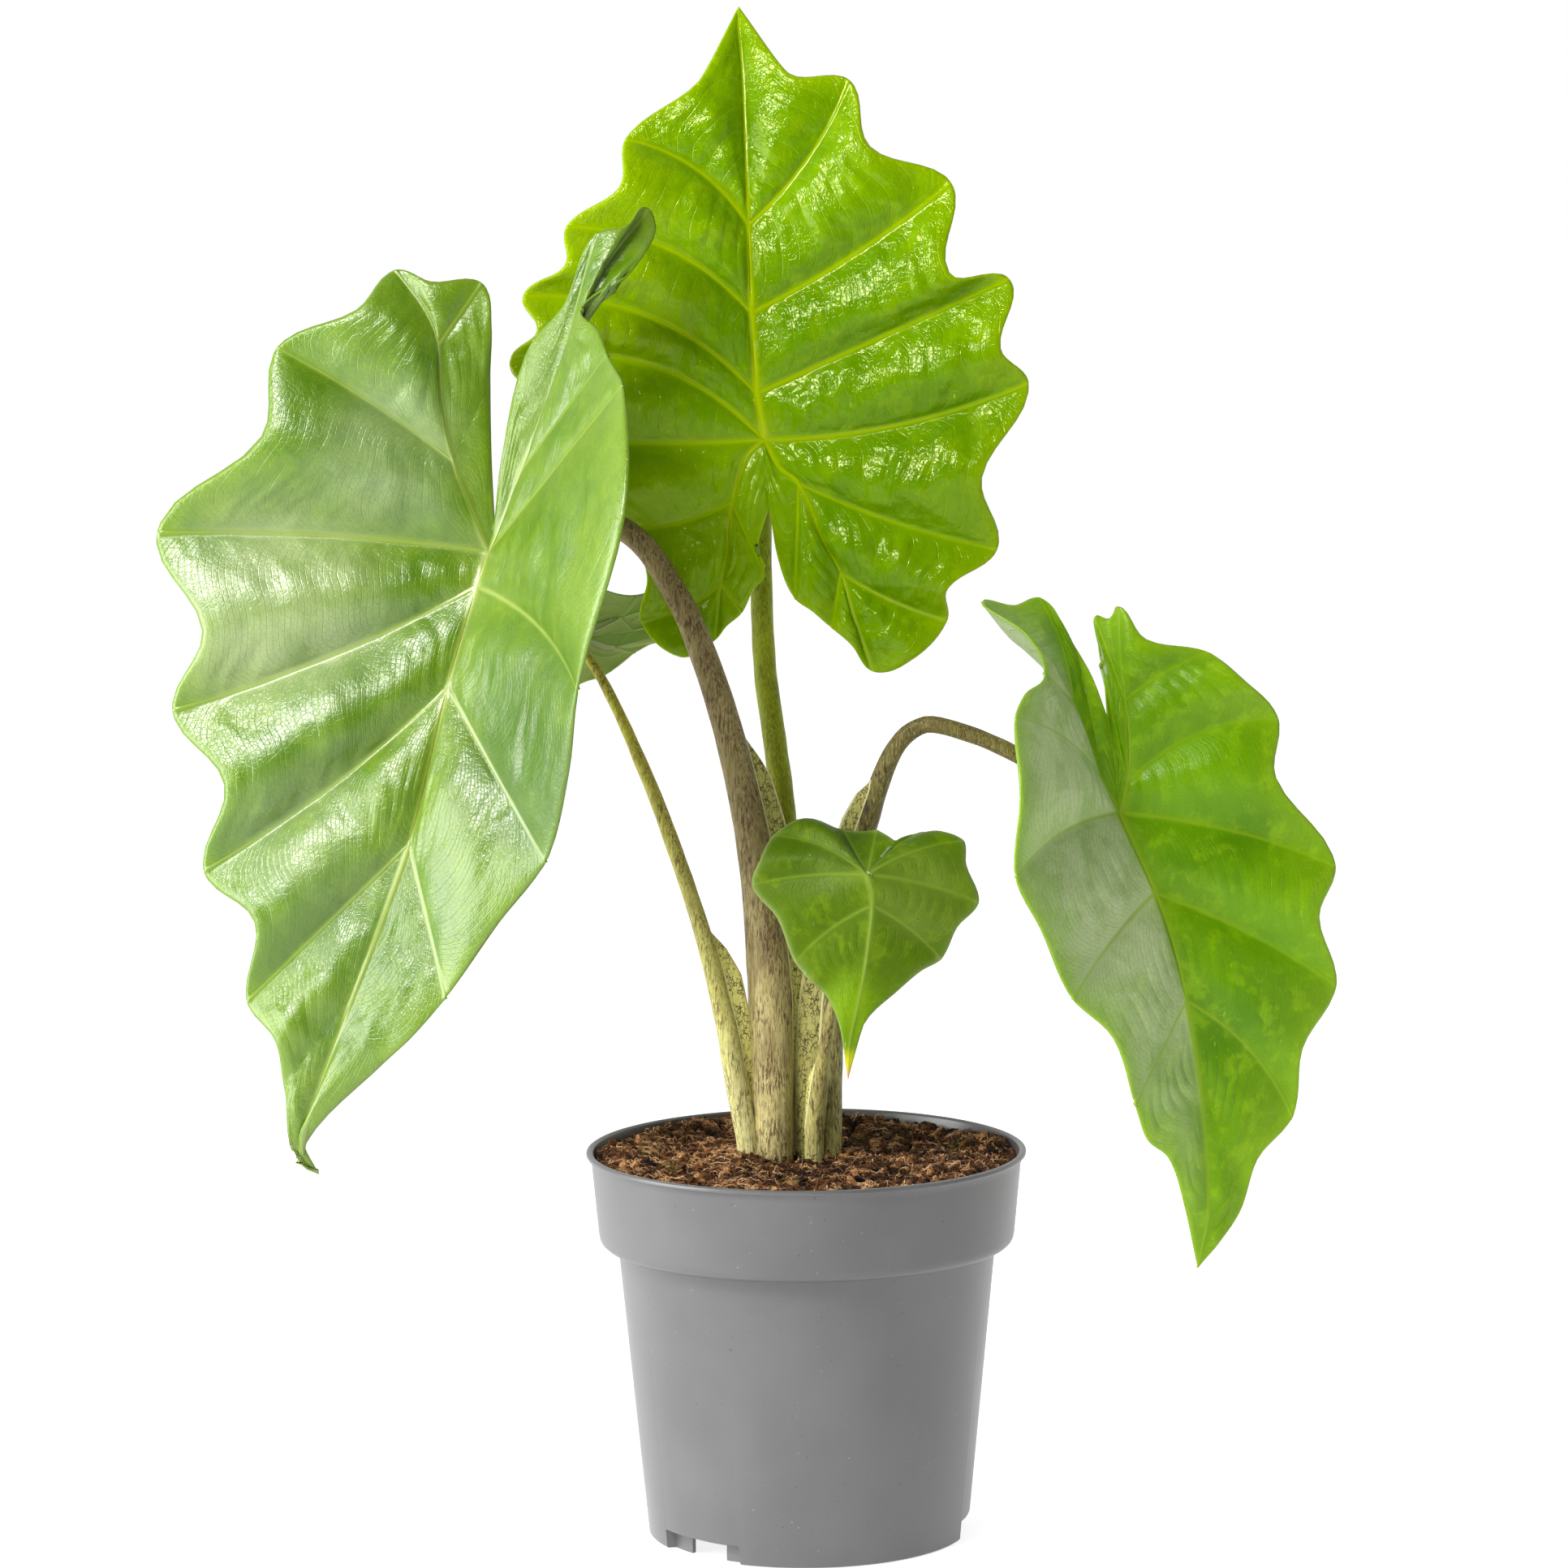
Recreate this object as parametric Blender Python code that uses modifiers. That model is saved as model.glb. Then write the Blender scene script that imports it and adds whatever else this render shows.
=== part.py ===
"""A potted alocasia: five long-stalked, lobed leaves in a grey plastic grower's pot.

The frame has +Z up and its origin at the centre of the pot's underside. Sizes are
in millimetres here and become metres when a mesh is made. A leaf is drawn as it
looks from EYE: right and up from the point where its stalk joins, and then away
from the eye. Its veins run from a rib to the tips of the margin's lobes, and the
margin dips to a bay between two tips.
"""

import math
from dataclasses import dataclass

import bmesh
import bpy
from mathutils import Vector, noise

MM = 0.001
FIT_GAP = 0.3

# Pot
POT_RIM_R = 95.0
POT_HEIGHT = 168.0
POT_WALL = 1.7
COLLAR_TOP_R = 92.7
COLLAR_LOW_R = 89.9
COLLAR_LOW_Z = 127.2
BODY_TOP_R = 81.5
BODY_LOW_R = 70.2
FOOT_R = 67.3
FOOT_HEIGHT = 8.0
FOOT_WALL = 2.0
WELL_R = 31.0
FLOOR_THICKNESS = 1.8
FLOOR_RISE = 7.6
RIM_LIP = 2.9
RIM_FLANGE = 4.8
RIM_ROUND = 0.6
COLLAR_ROUND = 4.0
SHOULDER = 1.2
WALL_CORNER = 2.5
WELL_SLOPE = 3.0
FOOT_CHAMFER = 0.5
POT_SIDES = 40
SHARP_POT_EDGE = math.radians(32)
NOTCH_TURNS = (-130.0, 50.0)
NOTCH_WIDTH = 17.0
NOTCH_HEIGHT = 6.6
DRAIN_COUNT = 8
DRAIN_R = 3.5
DRAIN_CIRCLE_R = 49.0
DRAIN_SIDES = 12
CUTTER_REACH = 3.0

# Soil
SOIL_TOP_R = COLLAR_TOP_R - POT_WALL - 0.6
SOIL_EDGE_Z = 161.0
SOIL_RISE = 2.6
SOIL_LUMPS = 1.6
SOIL_TOP_RINGS = 7
SOIL_WAVES = ((0.045, 3.0, 1.0), (0.11, 7.0, 0.6))
STEM_FOOT_Z = 125.0
STEM_HOLE_GAP = 0.5
STEM_HOLE_SIDES = 16

# Leaves
EYE = Vector((-8.4, -2628.7, 677.5))
EYE_DIP = math.radians(7.6)
BLADE = 0.9
RIDGE = 0.5
SPAN_STEPS = 8
PANEL_COLUMNS = 4
LEAST_STRIP = 0.05
LEAST_WIDTH = 0.01
PANEL_ROWS = 4
RIDGE_HALF_WIDTH = 2.6
SIDE_RIB = 0.7
SIDE_VEIN = 0.5
RIB_TAPER = 0.88
SWELL_SHARE = 0.12
SWELL_MEASURE = 0.6
FACING_SHARES = (0.45, 0.55)
TIP_EASE = 0.4
SEAM_WELD = 0.02
LEAF_ROUGHNESS = 0.35
TIP = -1

# Stalks
STALK_SIDES = 10
STALK_STEPS = 1
WING_POWER = 4
SHARP_STALK_EDGE = math.radians(50)
STALK_ROUGHNESS = 0.45


@dataclass(frozen=True)
class Vein:
    """A spoke of the leaf, from a fork on a rib to a lobe's tip, with the bay after it."""

    rib: str
    fork: int
    bay: tuple
    tip: tuple = None
    bow: float = 0.0
    raised: bool = True


@dataclass(frozen=True)
class Leaf:
    """One blade: its ribs as points with their forks, and its veins in turn round the margin."""

    name: str
    stalk_end: tuple
    ribs: dict
    veins: tuple
    rib_depth: float
    swell: float
    faces_eye: bool = True
    colour: tuple = (0.1, 0.3, 0.02)


@dataclass(frozen=True)
class Stalk:
    """One petiole: its centre line and radius, and the sheath wing on its lower part."""

    name: str
    stations: tuple
    seat: tuple
    wing_side: tuple
    wing: tuple
    colour: tuple


LEAF_TOP = Leaf(
    name="leaf_top",
    stalk_end=(-16.1, 50.0, 470.7),
    ribs={
        "midrib": (
            ((0, 0, 0), (-3, 20, -1), (-5, 55, 0), (-6, 93, 2), (-7, 127, 7), (-8, 159, 14),
             (-9.5, 178, 20), (-9.5, 188, 23)), (0, 1, 2, 3)),
        "right": (
            ((0, 0, 0), (6, -11, -1), (15, -19, -3), (24, -41, -5), (33, -58, -5), (39, -78, -4),
             (47, -101, -2)), (0, 2, 4)),
        "left": (
            ((0, 0, 0), (-8, -8, -1), (-14, -27, -3), (-16, -49, -4), (-19, -62, -4),
             (-22, -87, -2)), (0, 2, 4)),
    },
    veins=(
        Vein("midrib", TIP, bay=(12, 159, 6)),
        Vein("midrib", 3, tip=(38, 156, 4), bow=-5, bay=(47, 127, -6)),
        Vein("midrib", 2, tip=(82, 111, -6), bow=-3, bay=(81, 72, -17)),
        Vein("midrib", 1, tip=(107, 69, -12), bay=(103, 39, -21)),
        Vein("midrib", 0, tip=(115, 24, -14), bow=-6, bay=(94.5, -17, -22)),
        Vein("right", 1, tip=(101, -48, -10), bow=-3, bay=(79.5, -65, -15)),
        Vein("right", 2, tip=(79, -79, -5), bow=-2, bay=(65, -95, -9)),
        Vein("right", TIP, bay=(38, -90, -6)),
        Vein("right", 2, tip=(29, -82, -5), bay=(21, -75, -7)),
        Vein("right", 1, tip=(13, -69, -4), bay=(5.5, -50, -5)),
        Vein("midrib", 0, tip=(2, -30, -2), bay=(-3, -48, -4), raised=False),
        Vein("left", 1, tip=(0, -59, -4), bay=(-5, -65, -5)),
        Vein("left", 2, tip=(-10, -75, -4), bay=(-17, -81, -4)),
        Vein("left", TIP, bay=(-37, -94, -7)),
        Vein("left", 2, tip=(-54, -78, -7), bow=3, bay=(-51, -59, -12)),
        Vein("left", 1, tip=(-59, -38, -9), bow=3, bay=(-74, -19, -18)),
        Vein("midrib", 0, tip=(-102, 2, -14), bow=2, bay=(-98, 17, -20)),
        Vein("midrib", 0, tip=(-110, 34, -12), bow=-17, bay=(-98, 48, -20)),
        Vein("midrib", 1, tip=(-104, 63, -12), bow=-13, bay=(-86, 76, -17)),
        Vein("midrib", 2, tip=(-85, 93, -6), bow=-10, bay=(-62, 110, -9)),
        Vein("midrib", 3, tip=(-59, 131, 2), bow=-7, bay=(-27, 156, 6)),
    ),
    rib_depth=2.6,
    swell=3.4,
    colour=(0.23, 0.42, 0.008),
)

LEAF_LEFT = Leaf(
    name="leaf_left",
    stalk_end=(-134.1, 10.0, 426.7),
    ribs={
        "midrib": (
            ((0, 0, 0), (-5, -15, -5), (-18, -58, -13), (-26, -91, -18), (-35, -125, -22),
             (-50, -166, -25), (-59, -189, -26), (-77, -232, -24), (-84, -262, -20),
             (-76, -270, -18)), (0, 1, 2, 4, 6)),
        "left": (
            ((0, 0, 0), (-6, 15, -2), (-15, 39, -5), (-20, 66, -7), (-21, 88, -7), (-26, 103, -5),
             (-39, 121, 0)), (0, 2, 4)),
        "right": (
            ((0, 0, 0), (6, 12, -4), (14, 34, -9), (24, 58, -13), (31, 78, -16), (38, 96, -18),
             (49, 120, -15), (60, 135, -9), (70, 146, 0)), (0, 2, 4)),
    },
    veins=(
        Vein("midrib", TIP, bay=(-86.5, -254, -21)),
        Vein("midrib", 4, tip=(-91, -231, -21), bay=(-93, -209, -26)),
        Vein("midrib", 3, tip=(-105, -192, -16), bay=(-101.5, -158, -22)),
        Vein("midrib", 2, tip=(-123, -136, -9), bow=4, bay=(-114, -99, -17)),
        Vein("midrib", 1, tip=(-136, -67, -3), bow=4, bay=(-123, -33, -12)),
        Vein("midrib", 0, tip=(-142, 9, 0), bow=-3, bay=(-97, 50, -13)),
        Vein("left", 1, tip=(-90, 88, -4), bow=-2, bay=(-56, 104, -10)),
        Vein("left", TIP, bay=(-24, 116, -5)),
        Vein("left", 2, tip=(-2, 115, -2), bay=(2, 97, -5)),
        Vein("left", 1, tip=(1.5, 74, -1), bay=(1.6, 44, -1)),
        Vein("midrib", 0, tip=(2.8, 13, 0), bay=(5.2, 38, -5), raised=False),
        Vein("right", 1, tip=(18, 88, -7), bay=(33, 106, -12)),
        Vein("right", 2, tip=(47, 136, -12), bay=(60, 139, -13)),
        Vein("right", TIP, bay=(63, 121, -20)),
        Vein("right", 2, tip=(40, 104, -24), bay=(47, 95, -37)),
        Vein("right", 1, tip=(51, 84, -50), bay=(54.5, 77.5, -62)),
        Vein("midrib", 0, tip=(57.5, 71, -74), bay=(57.5, 14, -112)),
        Vein("midrib", 1, tip=(37, -59, -96), bow=7, bay=(33, -95, -82)),
        Vein("midrib", 2, tip=(23, -133, -62), bay=(3, -159, -52)),
        Vein("midrib", 3, tip=(-20, -191, -42), bay=(-34, -207, -40)),
        Vein("midrib", 4, tip=(-48, -220, -33), bay=(-77.5, -251, -25)),
    ),
    rib_depth=2.8,
    swell=3.4,
    colour=(0.13, 0.30, 0.04),
)

LEAF_RIGHT = Leaf(
    name="leaf_right",
    stalk_end=(134.2, -20.0, 315.9),
    ribs={
        "midrib": (
            ((0, 0, 0), (5, -12, -1), (15, -34, -2), (22, -56, -3), (28, -80, -3), (34, -120, 0),
             (37, -166, 5), (34, -186, 8), (32, -194, 9)), (0, 2, 4, 5)),
        "left": (
            ((0, 0, 0), (-7, 14, -4), (-12, 27, -7), (-19, 47, -11), (-28, 60, -14),
             (-38, 70, -16), (-46, 77, -18), (-57, 91, -20)), (0, 1, 3)),
        "right": (
            ((0, 0, 0), (3.5, 13, 0), (4, 30, 0), (3, 48, 0), (1, 66, 1), (0, 88, 2)), (0, 1, 3)),
    },
    veins=(
        Vein("midrib", TIP, bay=(27, -169, 3)),
        Vein("midrib", 3, tip=(20, -147, -7), bay=(11, -139, -14)),
        Vein("midrib", 2, tip=(6, -124, -17), bay=(-3, -96, -29)),
        Vein("midrib", 1, tip=(-20, -79, -37), bow=-2, bay=(-33, -50, -54)),
        Vein("midrib", 0, tip=(-43.5, -27, -68), bow=-6, bay=(-41.5, 6, -76)),
        Vein("left", 1, tip=(-43.5, 41, -58), bow=-5, bay=(-39.5, 51, -47)),
        Vein("left", 2, tip=(-31, 60, -30), bay=(-39, 77, -30)),
        Vein("left", TIP, bay=(-44, 89, -12)),
        Vein("left", 2, tip=(-33, 92, -5), bow=-3, bay=(-25, 84, -6)),
        Vein("left", 1, tip=(-18, 71, -3), bay=(-10, 56, -3)),
        Vein("midrib", 0, tip=(-4, 40, 0), bay=(-5.2, 52, 3), raised=False),
        Vein("right", 1, tip=(-7, 63, 4), bay=(-8.5, 73, 6)),
        Vein("right", 2, tip=(-9.5, 84, 7), bay=(-4, 83, 6)),
        Vein("right", TIP, bay=(12, 74, -1)),
        Vein("right", 2, tip=(39, 68, 4), bow=2, bay=(54, 56, 0)),
        Vein("right", 1, tip=(68, 40, 8), bow=7, bay=(67, 14.5, 2)),
        Vein("midrib", 0, tip=(92, -23, 12), bow=4, bay=(85, -45, 5)),
        Vein("midrib", 1, tip=(92, -74, 14), bow=3, bay=(77.5, -101, 7)),
        Vein("midrib", 2, tip=(73, -130, 14), bow=6, bay=(58, -148, 8)),
        Vein("midrib", 3, tip=(50, -171, 12), bow=3, bay=(41, -184, 9)),
    ),
    rib_depth=2.2,
    swell=2.8,
    colour=(0.12, 0.30, 0.015),
)

LEAF_FRONT = Leaf(
    name="leaf_front",
    stalk_end=(26.7, -38.0, 292.8),
    ribs={
        "midrib": (
            ((0, 0, 0), (2, -13, 0), (-1, -38, 1), (-5, -58, 3), (-8, -72, 5), (-9, -87, 7)),
            (0, 1, 2)),
    },
    veins=(
        Vein("midrib", TIP, bay=(-12, -66, 5)),
        Vein("midrib", 2, tip=(-19, -50, 8), bow=-1, bay=(-24.5, -45, 7)),
        Vein("midrib", 1, tip=(-32, -36, 8), bow=-2.5, bay=(-40, -21, 8)),
        Vein("midrib", 0, tip=(-49, -4, 12), bow=-2, bay=(-46, 6, 10)),
        Vein("midrib", 0, tip=(-40, 17, 17), bow=-4, bay=(-27, 24.5, 19)),
        Vein("midrib", 0, tip=(-10, 19.5, 24), bay=(-4, 18.8, 24)),
        Vein("midrib", 0, tip=(4, 19, 21), bay=(7.5, 17.5, 18)),
        Vein("midrib", 0, tip=(12, 14.5, 14), bay=(16, 16.5, 17), raised=False),
        Vein("midrib", 0, tip=(23, 18, 20), bow=2, bay=(32, 18.5, 17)),
        Vein("midrib", 0, tip=(41, 14, 14), bow=3, bay=(42, 4, 11)),
        Vein("midrib", 0, tip=(47, -12, 11), bow=2, bay=(40, -24, 9)),
        Vein("midrib", 1, tip=(31, -37, 9), bow=2, bay=(24, -43, 7)),
        Vein("midrib", 2, tip=(14, -51, 7), bow=1, bay=(-2, -66, 4)),
    ),
    rib_depth=1.4,
    swell=1.6,
    colour=(0.08, 0.22, 0.025),
)

LEAF_REAR = Leaf(
    name="leaf_rear",
    stalk_end=(-101.0, 46.0, 387.0),
    faces_eye=False,
    ribs={
        "midrib": (
            ((0, 0, 0), (-7, -9, 3), (-16, -22, 7), (-24, -35, 11), (-40, -60, 19),
             (-62, -98, 30)), (0, 1, 3, 4)),
        "lower": (((0, 0, 0), (10, -4, 3), (20, -6, 7), (41, -1, 15)), (0, 2)),
        "upper": (((0, 0, 0), (12, 3, 3), (22, 7, 7), (48, 15, 17)), (0, 2)),
    },
    veins=(
        Vein("midrib", TIP, bay=(-44, -90, 26)),
        Vein("midrib", 3, tip=(-32, -78, 24), bay=(-27, -64, 20)),
        Vein("midrib", 2, tip=(-14, -52, 16), bay=(-8, -38, 11)),
        Vein("midrib", 1, tip=(-1, -25, 7), bay=(6, -21, 5)),
        Vein("midrib", 0, tip=(14, -18.5, 6), bay=(21, -14, 8)),
        Vein("lower", 1, tip=(28, -8.5, 11), bay=(34, -5, 13)),
        Vein("lower", TIP, bay=(36, 2.5, 17)),
        Vein("lower", 1, tip=(27, 3, 15), bay=(18, 2, 11)),
        Vein("midrib", 0, tip=(9, 0.6, 4), bay=(18, 0.3, 6), raised=False),
        Vein("upper", 1, tip=(27, 1, 8.5), bay=(37, 4, 12)),
        Vein("upper", TIP, bay=(40, 20, 14)),
        Vein("upper", 1, tip=(29, 17, 8), bay=(21, 17.5, 5)),
        Vein("midrib", 0, tip=(10, 21, 5), bay=(-4, 23, 6)),
        Vein("midrib", 1, tip=(-22, 20, 9), bay=(-34, 10, 13)),
        Vein("midrib", 2, tip=(-50, -6, 18), bay=(-56, -22, 22)),
        Vein("midrib", 3, tip=(-62, -42, 26), bay=(-64, -68, 29)),
    ),
    rib_depth=1.6,
    swell=2.0,
    colour=(0.12, 0.26, 0.03),
)

LEAVES = (LEAF_TOP, LEAF_LEFT, LEAF_RIGHT, LEAF_FRONT, LEAF_REAR)

STALKS = (
    Stalk(
        name="petiole_top",
        stations=(
            (0, 13, STEM_FOOT_Z, 7.5), (0, 13, 172, 7.5), (-3, 16, 215, 7.0), (-7, 21, 260, 6.0),
            (-8.5, 27, 308, 5.3), (-12, 35, 339, 5.1), (-16, 44, 368, 5.0), (-17.5, 54, 400, 4.8),
            (-17.5, 60, 430, 4.6), (-16.7, 61, 455, 4.4), (-16.2, 58.5, 466, 4.1),
            (-16.1, 54.2, 470.7, 3.8)),
        seat=(0, -1, 0),
        wing_side=(0.95, -0.3, 0),
        wing=((290, 0), (275, 5), (250, 8), (215, 6), (190, 3), (172, 0)),
        colour=(0.30, 0.36, 0.05),
    ),
    Stalk(
        name="petiole_left",
        stations=(
            (-14.5, 3, STEM_FOOT_Z, 9.0), (-14.5, 3, 172, 9.0), (-13.9, 1.5, 210, 9.0),
            (-14.6, 1, 244, 8.6), (-20, 3, 288, 7.6), (-27, 6, 327, 6.8), (-36, 10, 362, 6.2),
            (-48, 14, 395, 5.6), (-57, 16, 412, 5.3), (-67, 18.5, 427, 5.1),
            (-79, 21, 436, 5.0), (-96, 22.5, 439, 4.9), (-114, 22, 436, 4.7),
            (-128, 19.5, 429.5, 4.4), (-133.6, 12.7, 426.8, 4.0)),
        seat=(0, -1, 0),
        wing_side=(0.93, 0.37, 0),
        wing=((345, 0), (337, 3), (328, 6), (308, 7.7), (280, 7.5), (242, 5), (205, 1), (178, 0)),
        colour=(0.28, 0.22, 0.13),
    ),
    Stalk(
        name="petiole_right",
        stations=(
            (9.5, 1, STEM_FOOT_Z, 6.0), (9.5, 1, 172, 6.0), (10.5, 2.5, 215, 6.0),
            (13.5, 4, 245, 6.0), (21.5, 5, 290, 5.7), (27, 3, 310, 5.2), (34, -0.5, 331, 4.3),
            (40.5, -3, 344, 3.9), (48, -5, 351, 3.7), (57, -6.2, 352.6, 3.6),
            (77, -8, 346.4, 3.5), (96, -9, 337, 3.5), (116, -9.6, 325.5, 3.5),
            (129, -11.5, 318, 3.5), (134, -16.9, 316, 3.1)),
        seat=(0, -1, 0),
        wing_side=(-0.95, -0.3, 0),
        wing=((326, 0), (319, 3.5), (308, 5), (285, 5), (250, 3), (215, 0)),
        colour=(0.24, 0.20, 0.08),
    ),
    Stalk(
        name="petiole_front",
        stations=(
            (3.4, -8, STEM_FOOT_Z, 4.2), (3.4, -8, 172, 4.2), (5.4, -11, 195, 4.1),
            (8, -14.5, 213, 2.8), (11, -18.5, 231, 2.3), (16.5, -23, 251, 2.2),
            (22, -27, 270, 2.2), (25.6, -29, 283, 2.2), (26.5, -30.6, 288.3, 2.0),
            (26.7, -34.7, 290.6, 1.8)),
        seat=(0, -1, 0),
        wing_side=(-1, 0, 0),
        wing=((207, 0), (200, 1.5), (188, 1), (175, 0)),
        colour=(0.32, 0.33, 0.10),
    ),
    Stalk(
        name="petiole_rear",
        stations=(
            (-25.5, -7, STEM_FOOT_Z, 5.2), (-25.5, -7, 172, 5.2), (-30.2, -5.7, 198, 4.9),
            (-34, -4.3, 222, 4.4), (-43.8, 0, 262, 3.7), (-59, 9.5, 307, 3.2),
            (-70, 17, 334, 2.8), (-79, 24, 354, 2.4), (-88, 31, 371, 2.1),
            (-95, 36, 380.5, 2.0), (-99.4, 39.4, 385.2, 2.0), (-101, 43.7, 386.7, 1.9)),
        seat=(0, 1, 0),
        wing_side=(0.9, 0.45, 0),
        wing=((262, 0), (254, 3.5), (242, 6), (222, 4), (200, 1.5), (178, 0)),
        colour=(0.42, 0.42, 0.10),
    ),
)


def clear_scene():
    """Remove every object of the scene the script runs in."""
    for item in list(bpy.data.objects):
        bpy.data.objects.remove(item, do_unlink=True)


def new_collection(name):
    """Return a new collection linked to the scene."""
    group = bpy.data.collections.new(name)
    bpy.context.scene.collection.children.link(group)
    return group


def plain_material(name, colour, roughness):
    """Return a Principled material of one colour."""
    finish = bpy.data.materials.new(name)
    finish.use_nodes = True
    shader = finish.node_tree.nodes["Principled BSDF"]
    shader.inputs["Base Color"].default_value = (*colour, 1.0)
    shader.inputs["Roughness"].default_value = roughness
    shader.inputs["Metallic"].default_value = 0.0
    return finish


def object_from(work, name, group, finish):
    """Turn a bmesh in metres into an object in a collection."""
    mesh = bpy.data.meshes.new(name)
    work.to_mesh(mesh)
    work.free()
    item = bpy.data.objects.new(name, mesh)
    item.data.materials.append(finish)
    group.objects.link(item)
    return item


def smooth_line(points, steps):
    """Return a Catmull-Rom line through points, with steps to each span."""
    knots = [Vector(point) for point in points]
    ends = [knots[0] * 2 - knots[1]] + knots + [knots[-1] * 2 - knots[-2]]
    line = []
    for index in range(len(knots) - 1):
        before, start, end, after = ends[index:index + 4]
        for step in range(steps):
            t = step / steps
            line.append(0.5 * (2 * start + (end - before) * t
                               + (2 * before - 5 * start + 4 * end - after) * t ** 2
                               + (3 * start - before - 3 * end + after) * t ** 3))
    line.append(knots[-1])
    return line


def ramp(stops, value):
    """Return the height at value of a line through (place, height) stops, in rising order."""
    if value <= stops[0][0]:
        return stops[0][1]
    for (low, first), (high, second) in zip(stops, stops[1:]):
        if value <= high:
            return first + (second - first) * (value - low) / (high - low)
    return stops[-1][1]


class Rib:
    """A rib's line in the leaf's drawing, measured along its length."""

    def __init__(self, points, forks):
        self.line = smooth_line(points, SPAN_STEPS)
        self.lengths = [0.0]
        for start, end in zip(self.line, self.line[1:]):
            self.lengths.append(self.lengths[-1] + (end - start).length)
        self.forks = [self.lengths[fork * SPAN_STEPS] for fork in forks]
        self.total = self.lengths[-1]

    def at(self, length):
        """Return the point at a length from the stalk."""
        for index in range(len(self.line) - 1):
            if length <= self.lengths[index + 1]:
                span = self.lengths[index + 1] - self.lengths[index]
                share = (length - self.lengths[index]) / span
                return self.line[index].lerp(self.line[index + 1], share)
        return self.line[-1].copy()


def heading(start, end):
    """Return the direction from one point to another."""
    return (end - start).normalized()


def hermite(start, leave, arrive, end, share):
    """Return the point at a share of a curve with a given tangent at each end."""
    square, cube = share ** 2, share ** 3
    return (start * (2 * cube - 3 * square + 1) + leave * (cube - 2 * square + share)
            + end * (3 * square - 2 * cube) + arrive * (cube - square))


class Blade:
    """The surface of one leaf, made of panels between neighbouring veins."""

    def __init__(self, leaf):
        self.leaf = leaf
        self.ribs = {name: Rib(*rib) for name, rib in leaf.ribs.items()}
        self.junction = Vector(leaf.stalk_end)
        sight = self.junction - EYE
        forward = Vector((0, math.cos(EYE_DIP), -math.sin(EYE_DIP)))
        self.distance = sight.dot(forward)
        self.right = Vector((1, 0, 0))
        self.up = self.right.cross(forward)
        self.away = sight / self.distance
        self.upper = -self.away if leaf.faces_eye else self.away
        self.veins = leaf.veins
        self.tips = [self.along(vein, 1.0) for vein in leaf.veins]
        self.bays = [Vector(vein.bay) for vein in leaf.veins]

    def pair(self, index):
        """Return the two veins beside a panel."""
        return self.veins[index], self.veins[(index + 1) % len(self.veins)]

    def place(self, drawn):
        """Return the place in the frame of a point of the drawing."""
        spread = 1.0 + drawn.z / self.distance
        flat = self.right * drawn.x + self.up * drawn.y
        return self.junction + flat * spread + self.away * drawn.z

    def start(self, vein):
        """Return the length along its rib at which a vein starts."""
        return self.ribs[vein.rib].forks[vein.fork]

    def along(self, vein, share):
        """Return the drawn point at a share of a vein's length."""
        rib = self.ribs[vein.rib]
        start = self.start(vein)
        if vein.tip is None:
            return rib.at(start + (rib.total - start) * share)
        foot = rib.at(start)
        tip = Vector(vein.tip)
        chord = tip - foot
        side = Vector((-chord.y, chord.x, 0)).normalized()
        knee = (foot + tip) / 2 + side * (2 * vein.bow)
        return foot * (1 - share) ** 2 + knee * (2 * share * (1 - share)) + tip * share ** 2

    def spine(self, index, share):
        """Return the drawn point on the rib between the feet of a panel's veins."""
        first, second = self.pair(index)
        low, high = self.start(first), self.start(second)
        rib = self.ribs[first.rib if low > high else second.rib]
        return rib.at(low + (high - low) * share)

    def turn_at(self, index):
        """Return the margin's direction at a vein's tip, or None where it has a corner."""
        vein = self.veins[index]
        if not vein.raised or (vein.tip is None and vein.rib == "midrib"):
            return None
        arriving = heading(self.bays[index - 1], self.tips[index])
        return (arriving + heading(self.tips[index], self.bays[index])).normalized()

    def margin(self, index, share):
        """Return the drawn point on the margin between the tips of a panel's veins."""
        after = (index + 1) % len(self.veins)
        start, bay, end = self.tips[index], self.bays[index], self.tips[after]
        level = heading(start, end)
        if share < 0.5:
            length = (bay - start).length
            leave = self.turn_at(index) or heading(start, bay)
            dip = level * length * self.ease(index)
            return hermite(start, leave * length, dip, bay, share * 2)
        length = (end - bay).length
        arrive = self.turn_at(after) or heading(bay, end)
        dip = level * length * self.ease(after)
        return hermite(bay, dip, arrive * length, end, share * 2 - 1)

    def ease(self, index):
        """Return how strongly the margin levels out in a bay beside a vein's tip."""
        vein = self.veins[index]
        return TIP_EASE if vein.tip is None and vein.rib == "midrib" else 1.0

    def point(self, index, across, out):
        """Return the place of a point of the panel between two veins."""
        first, second = self.pair(index)
        left, right = self.along(first, out), self.along(second, out)
        inner = self.spine(index, across)
        outer = self.margin(index, across)
        inner_chord = self.along(first, 0.0).lerp(self.along(second, 0.0), across)
        outer_chord = self.along(first, 1.0).lerp(self.along(second, 1.0), across)
        drawn = left.lerp(right, across) + (inner - inner_chord) * (1 - out)
        return self.place(drawn + (outer - outer_chord) * out)

    def width(self, index, out):
        """Return the distance between a panel's veins at a share of their lengths."""
        first, second = self.pair(index)
        if out == 0:
            return abs(self.start(first) - self.start(second))
        return (self.along(first, out) - self.along(second, out)).length

    def facing(self, index):
        """Return the upper side's direction at the middle of a panel."""
        low, high = FACING_SHARES
        across = self.point(index, high, 0.5) - self.point(index, low, 0.5)
        out = self.point(index, 0.5, high) - self.point(index, 0.5, low)
        return across.cross(out).normalized()

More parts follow.
